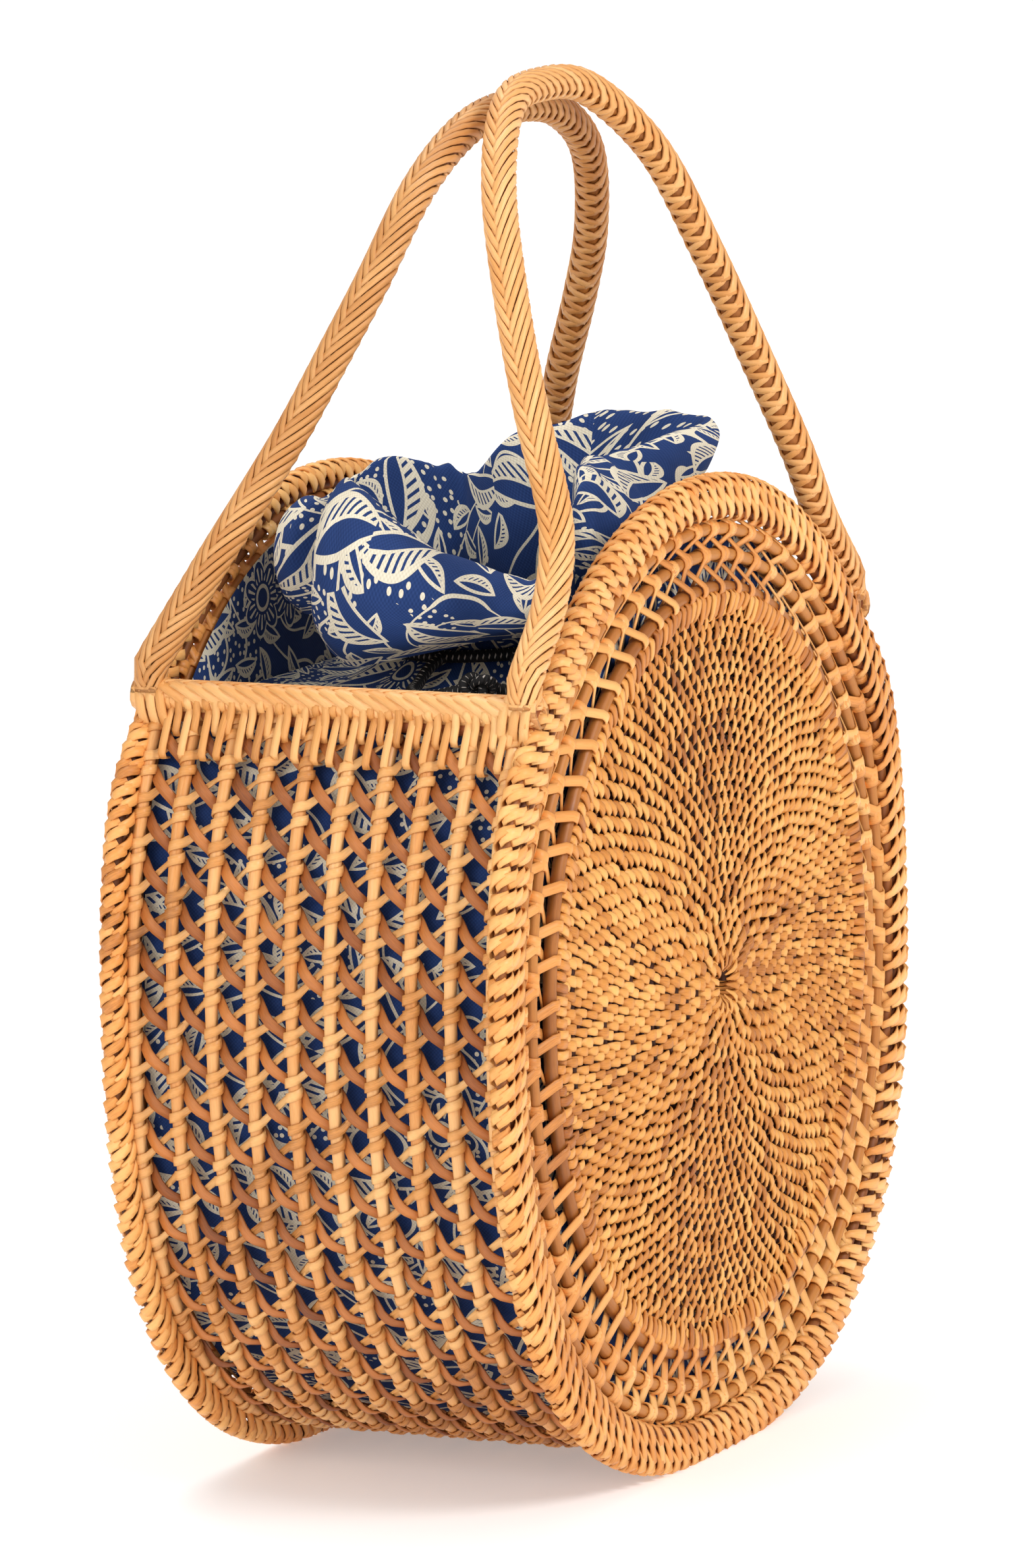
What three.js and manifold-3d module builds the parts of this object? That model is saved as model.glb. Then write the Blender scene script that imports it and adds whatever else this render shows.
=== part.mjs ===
// Round basket bag of cane and split strips, with a printed cloth liner and two plaited handles.
// X runs across the discs, the front disc faces -Y, Z is up, and the bag stands on its two borders.
import * as THREE from 'three';
import { mergeVertices } from 'three/addons/utils/BufferGeometryUtils.js';
import Module from 'manifold-3d';

const wasm = await Module();
wasm.setup();

// Basket body, in millimetres
const bodyWidth = 380;
const bodyHeight = 390;
const bodyDepth = 174;
const sideSquareness = 2.45;
const crownSquareness = 2.05;
const discSquareness = 2.1;
const footCut = 1;
const clearance = 0.3;

// Discs, hoops, ties and borders
const borderWidth = 16;
const borderThickness = 7;
const borderBevel = 1.6;
const hoopDiameter = 5.2;
const hoopCount = 2;
const hoopPitch = 10;
const hoopInset = 22;
const discInset = 41;
const discThickness = 5;
const discDome = 1.8;
const discRound = 1.5;
const coilRidgePitch = 19.2;
const coilRidgeHeight = 1.9;
const eyeDiameter = 7;
const eyeDepth = 2;
const tieCount = 48;
const tieWidth = 3.2;
const tieThickness = 1.2;
const tieLap = 2.5;

// Gusset canes and lacing
const caneDiameter = 5.2;
const caneCount = 10;
const caneInset = 9;
const laceRow = 17.6;
const laceWidth = 3.3;
const laceThickness = 1;
const laceSlack = 0.95;
const laceInnerSlack = 0.2;

// Rim of the gusset
const rimDrop = 63;
const rimBraidHeight = 11;
const rimBraidThickness = 10;
const rimBraidRound = 3;
const rimRodDiameter = 6;
const bindingWidth = 3;
const bindingPitch = 9;
const bindingThickness = 1.1;
const bindingLength = 17;
const bindingShortShare = 0.7;
const bindingBand = 4;

// Handles: half-width and lean along a leg, as shares of the rise, follow the bent canes
const handleDiameter = 12.6;
const handleCoreDiameter = 7;
const handleBoreSlack = 0.4;
const handleBallDiameter = 9;
const handleSleeveStart = 7;
const frontHandleRise = 224;
const backHandleRise = 215;
const handleMeetY = -13.5;
const handleMeetGap = 1.2;
const frontLeg = [
  [0, 1, 0], [0.13, 0.83, 0.01], [0.25, 0.745, 0.06], [0.46, 0.672, 0.31],
  [0.65, 0.59, 0.53], [0.85, 0.461, 0.76], [0.98, 0.225, 0.96],
];
const backLeg = [
  [0, 1, 0], [0.1, 0.985, 0.15], [0.2, 0.97, 0.3], [0.42, 0.813, 0.55],
  [0.58, 0.73, 0.72], [0.71, 0.651, 0.845], [0.88, 0.5, 0.96], [0.975, 0.27, 1],
];

// Liner, collar and drawcord: each of the collar's folds has its turn round the neck in degrees, and the points
// that the cloth passes, as lengths out from the neck and heights above the cord
const linerInset = 17;
const linerThickness = 1.5;
const linerPanelDrop = 18;
const shoulderDrop = 15;
const neckHalfLength = 64;
const neckHalfDepth = 40;
const collarCloth = 5;
const collarFolds = [
  [0, [[3, 10], [11, 22], [17, 34], [21, 46], [25, 58], [28, 67], [29, 76]]],
  [28, [[3, 10], [10, 22], [15, 33], [17, 44], [19, 54], [20, 63], [20, 72]]],
  [47, [[4, 10], [13, 21], [18, 32], [20, 43], [21, 54], [20, 63], [19, 70]]],
  [61, [[4, 10], [13, 20], [18, 30], [17, 40], [12, 47], [7, 52], [3, 57]]],
  [80, [[4, 10], [14, 20], [20, 31], [20, 42], [13, 51], [4, 58], [-4, 65]]],
  [103, [[4, 10], [14, 21], [20, 33], [20, 44], [15, 53], [8, 60], [1, 67]]],
  [112, [[4, 10], [14, 22], [20, 34], [21, 46], [19, 56], [16, 64], [12, 72]]],
  [122, [[4, 11], [12, 24], [19, 37], [23, 48], [24, 55], [27, 57], [31, 54]]],
  [136, [[4, 12], [14, 31], [30, 52], [45, 59], [58, 52], [63, 38], [58, 25]]],
  [145, [[4, 12], [14, 30], [28, 50], [41, 58], [54, 51], [58, 39], [54, 27]]],
  [150, [[3, 11], [10, 29], [20, 48], [27, 55], [33, 49], [37, 38], [40, 27]]],
  [156, [[3, 11], [10, 30], [22, 51], [32, 60], [46, 53], [53, 37], [54, 20]]],
  [168, [[3, 11], [10, 28], [20, 45], [33, 52], [48, 46], [55, 29], [53, 9]]],
  [186, [[3, 10], [10, 24], [20, 38], [32, 44], [45, 39], [53, 25], [51, 6]]],
  [203, [[3, 10], [10, 20], [20, 31], [31, 35], [42, 32], [49, 21], [47, 5]]],
  [219, [[3, 10], [9, 18], [16, 25], [25, 29], [34, 26], [38, 18], [37, 7]]],
  [231, [[3, 10], [9, 20], [12, 31], [14, 40], [18, 44], [22, 40], [24, 31]]],
  [246, [[4, 10], [12, 21], [17, 33], [19, 44], [17, 54], [14, 61], [10, 68]]],
  [268, [[4, 10], [13, 21], [19, 33], [20, 45], [16, 55], [11, 63], [5, 70]]],
  [290, [[4, 10], [12, 21], [17, 33], [17, 44], [13, 54], [9, 62], [4, 69]]],
  [306, [[4, 10], [12, 22], [20, 34], [25, 46], [27, 57], [28, 65], [28, 72]]],
  [323, [[4, 10], [14, 22], [26, 34], [38, 45], [48, 55], [54, 64], [57, 72]]],
  [341, [[4, 10], [13, 22], [21, 35], [27, 47], [31, 58], [34, 68], [36, 77]]],
];
const cordDiameter = 5;
const cordRise = 14;
const knotDiameter = 13;
const knotReach = 42;
const knotY = -38;
const tailRoutes = [
  [[8, -5, 9.7], [14, -3, 6.7], [22, -2, 1.7], [32, -4, 0], [41, -11, 0], [45, -21, 1.2], [43.5, -31, 3.7]],
  [[-1, -33, 9.7], [2, -38, 6.7], [6, -45, 1.7], [14, -52, 0], [23, -53, 0], [30, -49, 1.2], [35.5, -42.5, 3.7]],
];

// Outline of the basket: a rounded square whose upper part is rounder than its sides
const halfWidth = bodyWidth / 2;
const halfHeight = (bodyHeight + footCut) / 2;
const centreZ = halfHeight - footCut;
const faceY = bodyDepth / 2;
const innerFaceY = faceY - borderThickness;
const caneRadius = caneDiameter / 2;
const hoopRadius = hoopDiameter / 2;
const rodRadius = rimRodDiameter / 2;
const handleRadius = handleDiameter / 2;
const ballRadius = handleBallDiameter / 2;
const cordRadius = cordDiameter / 2;
const crownStart = THREE.MathUtils.degToRad(22);
const crownEnd = THREE.MathUtils.degToRad(40);

function squareness(angle, inset, crowned) {
  const side = THREE.MathUtils.lerp(sideSquareness, discSquareness, Math.min(inset / discInset, 1));
  if (!crowned) return side;
  const lift = Math.asin(THREE.MathUtils.clamp(Math.sin(angle), -1, 1));
  const crown = Math.min(side, crownSquareness);
  return THREE.MathUtils.lerp(side, crown, THREE.MathUtils.smoothstep(lift, crownStart, crownEnd));
}

function outlinePoint(angle, inset, crowned = false) {
  const power = squareness(angle, inset, crowned);
  const across = Math.abs(Math.cos(angle)) / (halfWidth - inset);
  const upward = Math.abs(Math.sin(angle)) / (halfHeight - inset);
  const radius = (across ** power + upward ** power) ** (-1 / power);
  return new THREE.Vector2(radius * Math.cos(angle), centreZ + radius * Math.sin(angle));
}

function outlineXAt(z, inset) {
  const power = squareness(0, inset, false);
  const share = Math.abs(z - centreZ) / (halfHeight - inset);
  return (halfWidth - inset) * (1 - share ** power) ** (1 / power);
}

function outlineLoop(inset, steps, crowned = true) {
  return Array.from({ length: steps }, (_, i) => outlinePoint((i / steps) * Math.PI * 2, inset, crowned));
}

// Levels: the rim lies under the crown, the handles rise from it, and the liner's shoulder lies under it
const rimTop = bodyHeight - rimDrop;
const frontHandleTop = rimTop + frontHandleRise;
const backHandleTop = rimTop + backHandleRise;
const linerPanelTop = bodyHeight - linerPanelDrop;
const shoulderLevel = rimTop - shoulderDrop;
const cordLevel = shoulderLevel + cordRise;

// The gusset's path runs from the left rim rod, under the bottom, to the right rim rod
const rodZ = rimTop - rimBraidHeight - clearance - rodRadius;
const rimX = outlineXAt(rodZ, caneInset);
const rimAngle = Math.atan2(rodZ - centreZ, rimX);
const pathSamples = 600;
const normalReach = 0.5;
const pathAngles = [];
const pathLengths = [0];
for (let i = 0; i <= pathSamples; i += 1) {
  const share = i / pathSamples;
  pathAngles.push(THREE.MathUtils.lerp(Math.PI - rimAngle, Math.PI * 2 + rimAngle, share));
  if (i > 0) {
    const step = outlinePoint(pathAngles[i], caneInset).distanceTo(outlinePoint(pathAngles[i - 1], caneInset));
    pathLengths.push(pathLengths[i - 1] + step);
  }
}
const pathLength = pathLengths[pathSamples];

function pathAngle(length) {
  let index = pathLengths.findIndex((value) => value >= length);
  if (index < 1) index = length <= 0 ? 1 : pathSamples;
  const before = pathLengths[index - 1];
  const share = (length - before) / (pathLengths[index] - before);
  return THREE.MathUtils.lerp(pathAngles[index - 1], pathAngles[index], share);
}

function gussetPoint(length, inset, y) {
  const point = outlinePoint(pathAngle(length), inset);
  return new THREE.Vector3(point.x, y, point.y);
}

function gussetNormal(length, inset) {
  const before = gussetPoint(length - normalReach, inset, 0);
  const after = gussetPoint(length + normalReach, inset, 0);
  const tangent = after.sub(before).normalize();
  return new THREE.Vector3(tangent.z, 0, -tangent.x);
}

class GussetCurve extends THREE.Curve {
  constructor(from, to, inset, y) {
    super();
    Object.assign(this, { from, to, inset, y });
  }

  getPoint(t) {
    return gussetPoint(THREE.MathUtils.lerp(this.from, this.to, t), this.inset, this.y);
  }
}

// Solids: joining, sweeping and lofting
function solidOf(geometry) {
  const bare = geometry.clone();
  bare.deleteAttribute('normal');
  bare.deleteAttribute('uv');
  const merged = mergeVertices(bare, 1e-4);
  const vertProperties = new Float32Array(merged.attributes.position.array);
  const triVerts = new Uint32Array(merged.index.array);
  return new wasm.Manifold(new wasm.Mesh({ numProp: 3, vertProperties, triVerts }));
}

function geometryOf(solid) {
  const mesh = solid.getMesh();
  const geometry = new THREE.BufferGeometry();
  geometry.setAttribute('position', new THREE.BufferAttribute(mesh.vertProperties, 3));
  geometry.setIndex(new THREE.BufferAttribute(mesh.triVerts, 1));
  geometry.computeVertexNormals();
  return geometry;
}

function join(geometries) {
  return geometryOf(wasm.Manifold.union(geometries.map(solidOf)));
}

function roundShape(radius, sides) {
  const shape = new THREE.Shape();
  for (let i = 0; i < sides; i += 1) {
    const angle = ((i + 0.5) / sides) * Math.PI * 2;
    const point = [radius * Math.cos(angle), radius * Math.sin(angle)];
    if (i === 0) shape.moveTo(...point);
    else shape.lineTo(...point);
  }
  shape.closePath();
  return shape;
}

function tube(curve, radius, sides, steps) {
  return new THREE.ExtrudeGeometry(roundShape(radius, sides), { steps, extrudePath: curve, curveSegments: 1 });
}

// A grid of rings, each ring a list of points, closed both round the ring and, if asked, end to end
function loft(rings, endless) {
  const sides = rings[0].length;
  const positions = rings.flat().flatMap((point) => [point.x, point.y, point.z]);
  const index = [];
  const spans = endless ? rings.length : rings.length - 1;
  for (let i = 0; i < spans; i += 1) {
    const here = i * sides;
    const there = ((i + 1) % rings.length) * sides;
    for (let k = 0; k < sides; k += 1) {
      const next = (k + 1) % sides;
      index.push(here + k, there + k, there + next, here + k, there + next, here + next);
    }
  }
  if (!endless) {
    const last = (rings.length - 1) * sides;
    for (let k = 1; k < sides - 1; k += 1) {
      index.push(0, k, k + 1);
      index.push(last, last + k + 1, last + k);
    }
  }
  const geometry = new THREE.BufferGeometry();
  geometry.setAttribute('position', new THREE.Float32BufferAttribute(positions, 3));
  geometry.setIndex(index);
  geometry.computeVertexNormals();
  return geometry;
}

// A flat strip along the gusset: points hold the length along the path and the place across it
function ribbon(points, inset, width, thickness) {
  const middles = points.map(([length, y]) => gussetPoint(length, inset, y));
  const rings = middles.map((middle, i) => {
    const before = middles[Math.max(i - 1, 0)];
    const after = middles[Math.min(i + 1, middles.length - 1)];
    const along = after.clone().sub(before).normalize();
    const out = gussetNormal(points[i][0], inset);
    const side = new THREE.Vector3().crossVectors(along, out).normalize();
    const corners = [[-1, -1], [1, -1], [1, 1], [-1, 1]];
    return corners.map(([a, b]) => middle.clone()
      .addScaledVector(side, (a * width) / 2)
      .addScaledVector(out, (b * thickness) / 2));
  });
  return loft(rings, false);
}

function shapeOf(points) {
  return new THREE.Shape(points);
}

// A plate whose outline lies in X and Z, between two Y values
function plate(shape, yLow, yHigh, bevel = 0) {
  const settings = { depth: yHigh - yLow - 2 * bevel, curveSegments: 1, bevelEnabled: bevel > 0 };
  Object.assign(settings, { bevelSize: bevel, bevelThickness: bevel, bevelOffset: -bevel, bevelSegments: 1 });
  const geometry = new THREE.ExtrudeGeometry(shape, settings);
  geometry.rotateX(Math.PI / 2);
  geometry.translate(0, yHigh - bevel, 0);
  return geometry;
}

const bag = new THREE.Group();

function addPiece(name, geometry, color, roughness) {
  const material = new THREE.MeshStandardMaterial({ color, roughness, metalness: 0 });
  const mesh = new THREE.Mesh(geometry, material);
  mesh.name = name;
  bag.add(mesh);
  return mesh;
}

const goldenStrip = '#dea55a';
const redBrownStrip = '#a05f32';
const caneBrown = '#96633c';
const coilGold = '#cd8c46';
const clothBlue = '#1c3a82';
const cordBlack = '#16161a';

// Disc borders: a ring of stitched rows, worn flat underneath where the bag stands
const ringSteps = 48;
const hoopSides = 5;
const hoopSteps = 36;
const discSegments = 32;

function borderGeometry(side) {
  const shape = shapeOf(outlineLoop(0, ringSteps));
  shape.holes.push(new THREE.Path(outlineLoop(borderWidth, ringSteps)));
  const yLow = side < 0 ? -faceY : innerFaceY;
  const ring = solidOf(plate(shape, yLow, yLow + borderThickness, borderBevel));
  const floorBlock = new THREE.BoxGeometry(bodyWidth, bodyDepth * 2, bodyHeight);
  floorBlock.translate(0, 0, -bodyHeight / 2);
  return geometryOf(ring.subtract(solidOf(floorBlock)));
}

// Hoops: round canes bent to the outline, between the disc and the border
function hoopGeometry(inset, side) {
  const y = side * (innerFaceY + hoopRadius);
  const rings = [];
  for (let i = 0; i < hoopSteps; i += 1) {
    const angle = (i / hoopSteps) * Math.PI * 2;
    const middle = outlinePoint(angle, inset, true);
    const out = new THREE.Vector3(Math.cos(angle), 0, Math.sin(angle));
    const ring = [];
    for (let k = 0; k < hoopSides; k += 1) {
      const turn = (k / hoopSides) * Math.PI * 2;
      const point = new THREE.Vector3(middle.x, y, middle.y);
      point.addScaledVector(out, hoopRadius * Math.cos(turn));
      point.y -= hoopRadius * Math.sin(turn);
      ring.push(point);
    }
    rings.push(ring);
  }
  return loft(rings, true);
}

// Coiled disc: a slightly domed round plate with ridges of its coil, a rounded edge and an eye at its centre
function discGeometry(side) {
  const edgeRadius = halfWidth - discInset;
  const eyeShare = eyeDiameter / 2 / edgeRadius;
  const roundShare = discRound / edgeRadius;
  const corners = [[0, 0], [1 - roundShare, 0], [1, discRound]];
  const profile = corners.map(([share, depth]) => new THREE.Vector2(share, depth));
  profile.push(new THREE.Vector2(1, discThickness - discRound));
  const ridgeSteps = 2 * Math.round(edgeRadius / coilRidgePitch);
  for (let i = 0; i <= ridgeSteps; i += 1) {
    const share = THREE.MathUtils.lerp(1 - roundShare, eyeShare, i / ridgeSteps);
    const groove = i % 2 === 1 ? coilRidgeHeight : 0;
    profile.push(new THREE.Vector2(share, discThickness + discDome * (1 - share * share) - groove));
  }
  profile.push(new THREE.Vector2(0, discThickness + discDome - eyeDepth));
  const geometry = new THREE.LatheGeometry(profile, discSegments);
  const position = geometry.attributes.position;
  for (let i = 0; i < position.count; i += 1) {
    const angle = Math.atan2(position.getZ(i), position.getX(i));
    const share = Math.hypot(position.getX(i), position.getZ(i));
    const edge = outlinePoint(angle, discInset, true);
    const x = edge.x * share;
    const z = centreZ + (edge.y - centreZ) * share;
    position.setXYZ(i, x, innerFaceY + position.getY(i), z);
  }
  geometry.computeVertexNormals();
  if (side < 0) {
    geometry.translate(0, 0, -centreZ);
    geometry.rotateZ(Math.PI);
    geometry.translate(0, 0, centreZ);
  }
  return geometry;
}

// Ties: one zigzag of split strip that laps the disc edge, both hoops and the border
function tieGeometry(side) {
  const yNear = innerFaceY + hoopDiameter + clearance;
  const inner = [];
  const outer = [];
  for (let i = 0; i < tieCount * 2; i += 1) {
    const angle = (i / (tieCount * 2)) * Math.PI * 2;
    const atBorder = i % 2 === 0;
    const inset = atBorder ? borderWidth + clearance * 2 : discInset + tieLap - tieWidth;
    outer.push(outlinePoint(angle, inset, true));
    inner.push(outlinePoint(angle, inset + tieWidth, true));
  }
  const shape = shapeOf(outer);
  shape.holes.push(new THREE.Path(inner));
  const low = side < 0 ? -yNear - tieThickness : yNear;
  return plate(shape, low, low + tieThickness);
}

for (const [face, side] of [['front', -1], ['back', 1]]) {
  addPiece(`${face}_coil_disc`, discGeometry(side), coilGold, 0.5);
  for (let i = 0; i < hoopCount; i += 1) {
    const inset = hoopInset + (hoopCount - 1 - i) * hoopPitch;
    addPiece(`${face}_hoop_${i + 1}`, hoopGeometry(inset, side), caneBrown, 0.55);
  }
  addPiece(`${face}_ties`, tieGeometry(side), goldenStrip, 0.45);
  addPiece(`${face}_border`, borderGeometry(side), goldenStrip, 0.5);
}

// Gusset canes: from rim rod to rim rod, side by side between the borders
const edgeY = innerFaceY - clearance - caneRadius;
const canePitch = (2 * edgeY) / (caneCount - 1);
const caneSides = 5;
const caneSteps = 28;
const caneStart = rodRadius + clearance;
for (let i = 0; i < caneCount; i += 1) {
  const curve = new GussetCurve(caneStart, pathLength - caneStart, caneInset, -edgeY + i * canePitch);
  const name = `gusset_cane_${String(i + 1).padStart(2, '0')}`;
  addPiece(name, tube(curve, caneRadius, caneSides, caneSteps), goldenStrip, 0.5);
}

// Lacing: a strip that crosses all the canes slantwise, turns round the edge cane and comes back a row further
const laceStart = bindingBand + bindingLength + laceWidth;
const laceEnd = pathLength - laceStart;
const laceClimb = laceRow * (caneCount - 1);
const lacePieces = 3;

function lacingGeometry(slant, inset) {
  const route = [];
  let backwards = false;
  for (let start = laceStart - laceClimb + laceRow; start < laceEnd - laceRow / 2; start += laceRow) {
    const from = Math.max(0, (laceStart - start) / laceClimb);
    const to = Math.min(1, (laceEnd - start) / laceClimb);
    const pieces = Math.max(1, Math.ceil((to - from) * lacePieces));
    const crossing = [];
    for (let i = 0; i <= pieces; i += 1) {
      const share = THREE.MathUtils.lerp(from, to, i / pieces);
      crossing.push([start + laceClimb * share, slant * edgeY * (1 - 2 * share)]);
    }
    route.push(...(backwards ? crossing.reverse() : crossing));
    backwards = !backwards;
  }
  return ribbon(route, inset, laceWidth, laceThickness);
}

const laceOffset = caneRadius + clearance + laceThickness / 2;
addPiece('gusset_lacing_light', lacingGeometry(-1, caneInset - laceOffset - laceSlack), goldenStrip, 0.42);
addPiece('gusset_lacing_dark', lacingGeometry(1, caneInset + laceOffset + laceInnerSlack), redBrownStrip, 0.6);

// Rims: a rod over the cane ends, a braid on top of it and a comb of binding loops outside
const rimLength = 2 * (innerFaceY - clearance);
const rodSides = 8;

function rimBraidGeometry() {
  const halfX = rimBraidThickness / 2 - rimBraidRound;
  const low = rimTop - rimBraidHeight + rimBraidRound;
  const high = rimTop - rimBraidRound;
  const shape = new THREE.Shape();
  shape.absarc(halfX, low, rimBraidRound, -Math.PI / 2, 0);
  shape.absarc(halfX, high, rimBraidRound, 0, Math.PI / 2);
  shape.absarc(-halfX, high, rimBraidRound, Math.PI / 2, Math.PI);
  shape.absarc(-halfX, low, rimBraidRound, Math.PI, Math.PI * 1.5);
  const geometry = new THREE.ExtrudeGeometry(shape, { depth: rimLength, curveSegments: 3, bevelEnabled: false });
  geometry.rotateX(Math.PI / 2);
  geometry.translate(0, rimLength / 2, 0);
  return geometry;
}

function bindingGeometry() {
  const half = rimLength / 2;
  const count = Math.floor((rimLength - bindingWidth) / bindingPitch) + 1;
  const first = -((count - 1) * bindingPitch) / 2;
  const corners = [[half, 0], [half, bindingBand], [-half, bindingBand], [-half, 0]];
  for (let i = 0; i < count; i += 1) {
    const middle = first + i * bindingPitch;
    const foot = i % 2 === 0 ? -bindingLength : -bindingLength * bindingShortShare;
    corners.push([middle - bindingWidth / 2, 0], [middle - bindingWidth / 2, foot]);
    corners.push([middle + bindingWidth / 2, foot], [middle + bindingWidth / 2, 0]);
  }
  const shape = shapeOf(corners.map(([x, y]) => new THREE.Vector2(x, y)));
  return new THREE.ExtrudeGeometry(shape, { depth: bindingThickness, bevelEnabled: false });
}

// A frame on the outside of the gusset: its second axis points up the side, its third one outwards
function outsideFrame(length, upward) {
  const out = gussetNormal(length, caneInset);
  const up = new THREE.Vector3(-out.z, 0, out.x).multiplyScalar(upward);
  const along = new THREE.Vector3().crossVectors(up, out);
  const place = gussetPoint(length, caneInset, 0).addScaledVector(out, rodRadius + clearance);
  return new THREE.Matrix4().makeBasis(along, up, out).setPosition(place);
}

for (const [name, side] of [['left', -1], ['right', 1]]) {
  const rod = new THREE.CylinderGeometry(rodRadius, rodRadius, rimLength, rodSides);
  addPiece(`${name}_rim_rod`, rod, redBrownStrip, 0.55).position.set(side * rimX, 0, rodZ);
  addPiece(`${name}_rim_braid`, rimBraidGeometry(), goldenStrip, 0.45).position.set(side * rimX, 0, 0);
  const frame = outsideFrame(side < 0 ? bindingBand : pathLength - bindingBand, side);
  addPiece(`${name}_rim_binding`, bindingGeometry().applyMatrix4(frame), goldenStrip, 0.45);
}

// Handles: a bent cane core with ball ends on the rim, inside a plaited sleeve
const footY = faceY - handleRadius - clearance;
const footZ = rimTop + clearance + ballRadius;
const handleSides = 6;
const handleSteps = 27;

function handleCurve(leg, side, top) {
  const lean = footY - side * handleMeetY - handleRadius - handleMeetGap / 2;
  const left = leg.map(([rise, width, inward]) => new THREE.Vector3(
    -rimX * width,
    side * (footY - lean * inward),
    THREE.MathUtils.lerp(footZ, top - handleRadius, rise),
  ));
  const apex = new THREE.Vector3(0, side * (footY - lean), top - handleRadius);
  const right = left.map((point) => new THREE.Vector3(-point.x, point.y, point.z)).reverse();
  return new THREE.CatmullRomCurve3([...left, apex, ...right], false, 'centripetal');
}

class CurvePart extends THREE.Curve {
  constructor(curve, trim) {
    super();
    Object.assign(this, { curve, trim });
  }

  getPoint(t) {
    return this.curve.getPointAt(THREE.MathUtils.lerp(this.trim, 1 - this.trim, t));
  }
}

function handleCoreGeometry(curve) {
  const parts = [tube(new CurvePart(curve, 0), handleCoreDiameter / 2, handleSides, handleSteps)];
  for (const end of [0, 1]) {
    const ball = new THREE.SphereGeometry(ballRadius, 8, 6);
    const place = curve.getPointAt(end);
    parts.push(ball.translate(place.x, place.y, place.z));
  }
  return join(parts);
}

function handleBraidGeometry(curve) {
  const shape = roundShape(handleRadius, handleSides + 2);
  const bore = (handleCoreDiameter / 2 + clearance) / Math.cos(Math.PI / handleSides) + handleBoreSlack;
  shape.holes.push(roundShape(bore, handleSides));
  const trim = handleSleeveStart / curve.getLength();
  const extrudePath = new CurvePart(curve, trim);
  return new THREE.ExtrudeGeometry(shape, { steps: handleSteps, extrudePath, curveSegments: 1 });
}

const handles = [
  ['front_handle', handleCurve(frontLeg, -1, frontHandleTop)],
  ['back_handle', handleCurve(backLeg, 1, backHandleTop)],
];
for (const [name, curve] of handles) {
  addPiece(`${name}_core`, handleCoreGeometry(curve), caneBrown, 0.55);
  addPiece(`${name}_braid`, handleBraidGeometry(curve), goldenStrip, 0.45);
}

// Liner: a cloth band round the gusset, two panels behind the discs and a shoulder across the mouth
const linerHalfDepth = innerFaceY - 2 * clearance - linerThickness;
const linerSteps = 34;
const panelSteps = 40;
const neckSegments = 20;

function linerGussetGeometry() {
  const inset = linerInset + linerThickness / 2;
  const level = shoulderLevel - clearance;
  const first = pathAngles.findIndex((angle) => outlinePoint(angle, inset).y <= level);
  const start = pathLengths[first] + linerThickness;
  const points = [];
  for (let i = 0; i <= linerSteps; i += 1) {
    points.push([THREE.MathUtils.lerp(start, pathLength - start, i / linerSteps), 0]);
  }
  return ribbon(points, inset, 2 * (linerHalfDepth - clearance), linerThickness);
}

function linerPanelGeometry(side) {
  const loop = outlineLoop(linerInset, panelSteps);
  const points = loop.map((point) => new THREE.Vector2(point.x, Math.min(point.y, linerPanelTop)));
  const low = side < 0 ? -linerHalfDepth - linerThickness : linerHalfDepth;
  return plate(shapeOf(points), low, low + linerThickness);
}

function shoulderGeometry() {
  const halfX = outlineXAt(shoulderLevel, linerInset);
  const halfY = linerHalfDepth - clearance;
  const corners = [[-halfX, -halfY], [halfX, -halfY], [halfX, halfY], [-halfX, halfY]];
  const shape = shapeOf(corners.map(([x, y]) => new THREE.Vector2(x, y)));
  const hole = new THREE.Path();
  hole.absellipse(0, 0, neckHalfLength - collarCloth, neckHalfDepth - collarCloth, 0, Math.PI * 2, true);
  shape.holes.push(hole);
  const settings = { depth: linerThickness, curveSegments: neckSegments, bevelEnabled: false };
  const geometry = new THREE.ExtrudeGeometry(shape, settings);
  return geometry.translate(0, 0, shoulderLevel);
}

addPiece('liner_front_panel', linerPanelGeometry(-1), clothBlue, 0.9);
addPiece('liner_back_panel', linerPanelGeometry(1), clothBlue, 0.9);
addPiece('liner_gusset', linerGussetGeometry(), clothBlue, 0.9);
addPiece('liner_shoulder', shoulderGeometry(), clothBlue, 0.9);

// Collar: gathered cloth that rises out of the neck, rolls over at the left and stands up at the right
const collarBase = shoulderLevel + linerThickness + clearance;

function collarSection(folds) {
  const line = [new THREE.Vector2(0, collarBase - cordLevel), new THREE.Vector2(0, cordDiameter)];
  folds.forEach(([out, up]) => line.push(new THREE.Vector2(out, up)));
  const inside = line.map((point, i) => {
    const along = line[Math.min(i + 1, line.length - 1)].clone().sub(line[Math.max(i - 1, 0)]).normalize();
    return new THREE.Vector2(point.x - along.y * collarCloth, point.y + along.x * collarCloth);
  });
  return [...line, ...inside.reverse()];
}

function collarGeometry() {
  const rings = collarFolds.map(([turn, folds]) => {
    const angle = THREE.MathUtils.degToRad(turn);
    const out = new THREE.Vector3(neckHalfLength * Math.cos(angle), neckHalfDepth * Math.sin(angle), 0);
    const away = out.clone().normalize();
    return collarSection(folds).map((point) => {
      const place = out.clone().addScaledVector(away, point.x);
      place.z = cordLevel + point.y;
      return place;
    });
  });
  return loft(rings, true);
}

addPiece('liner_collar', collarGeometry(), clothBlue, 0.9);

// Drawcord: a ring round the neck, two tails that lie on the shoulder and the knot that ties them
const cordSides = 8;
const cordRingSteps = 30;
const tailSteps = 12;
const tailLevel = shoulderLevel + linerThickness + clearance + cordRadius;

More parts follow.
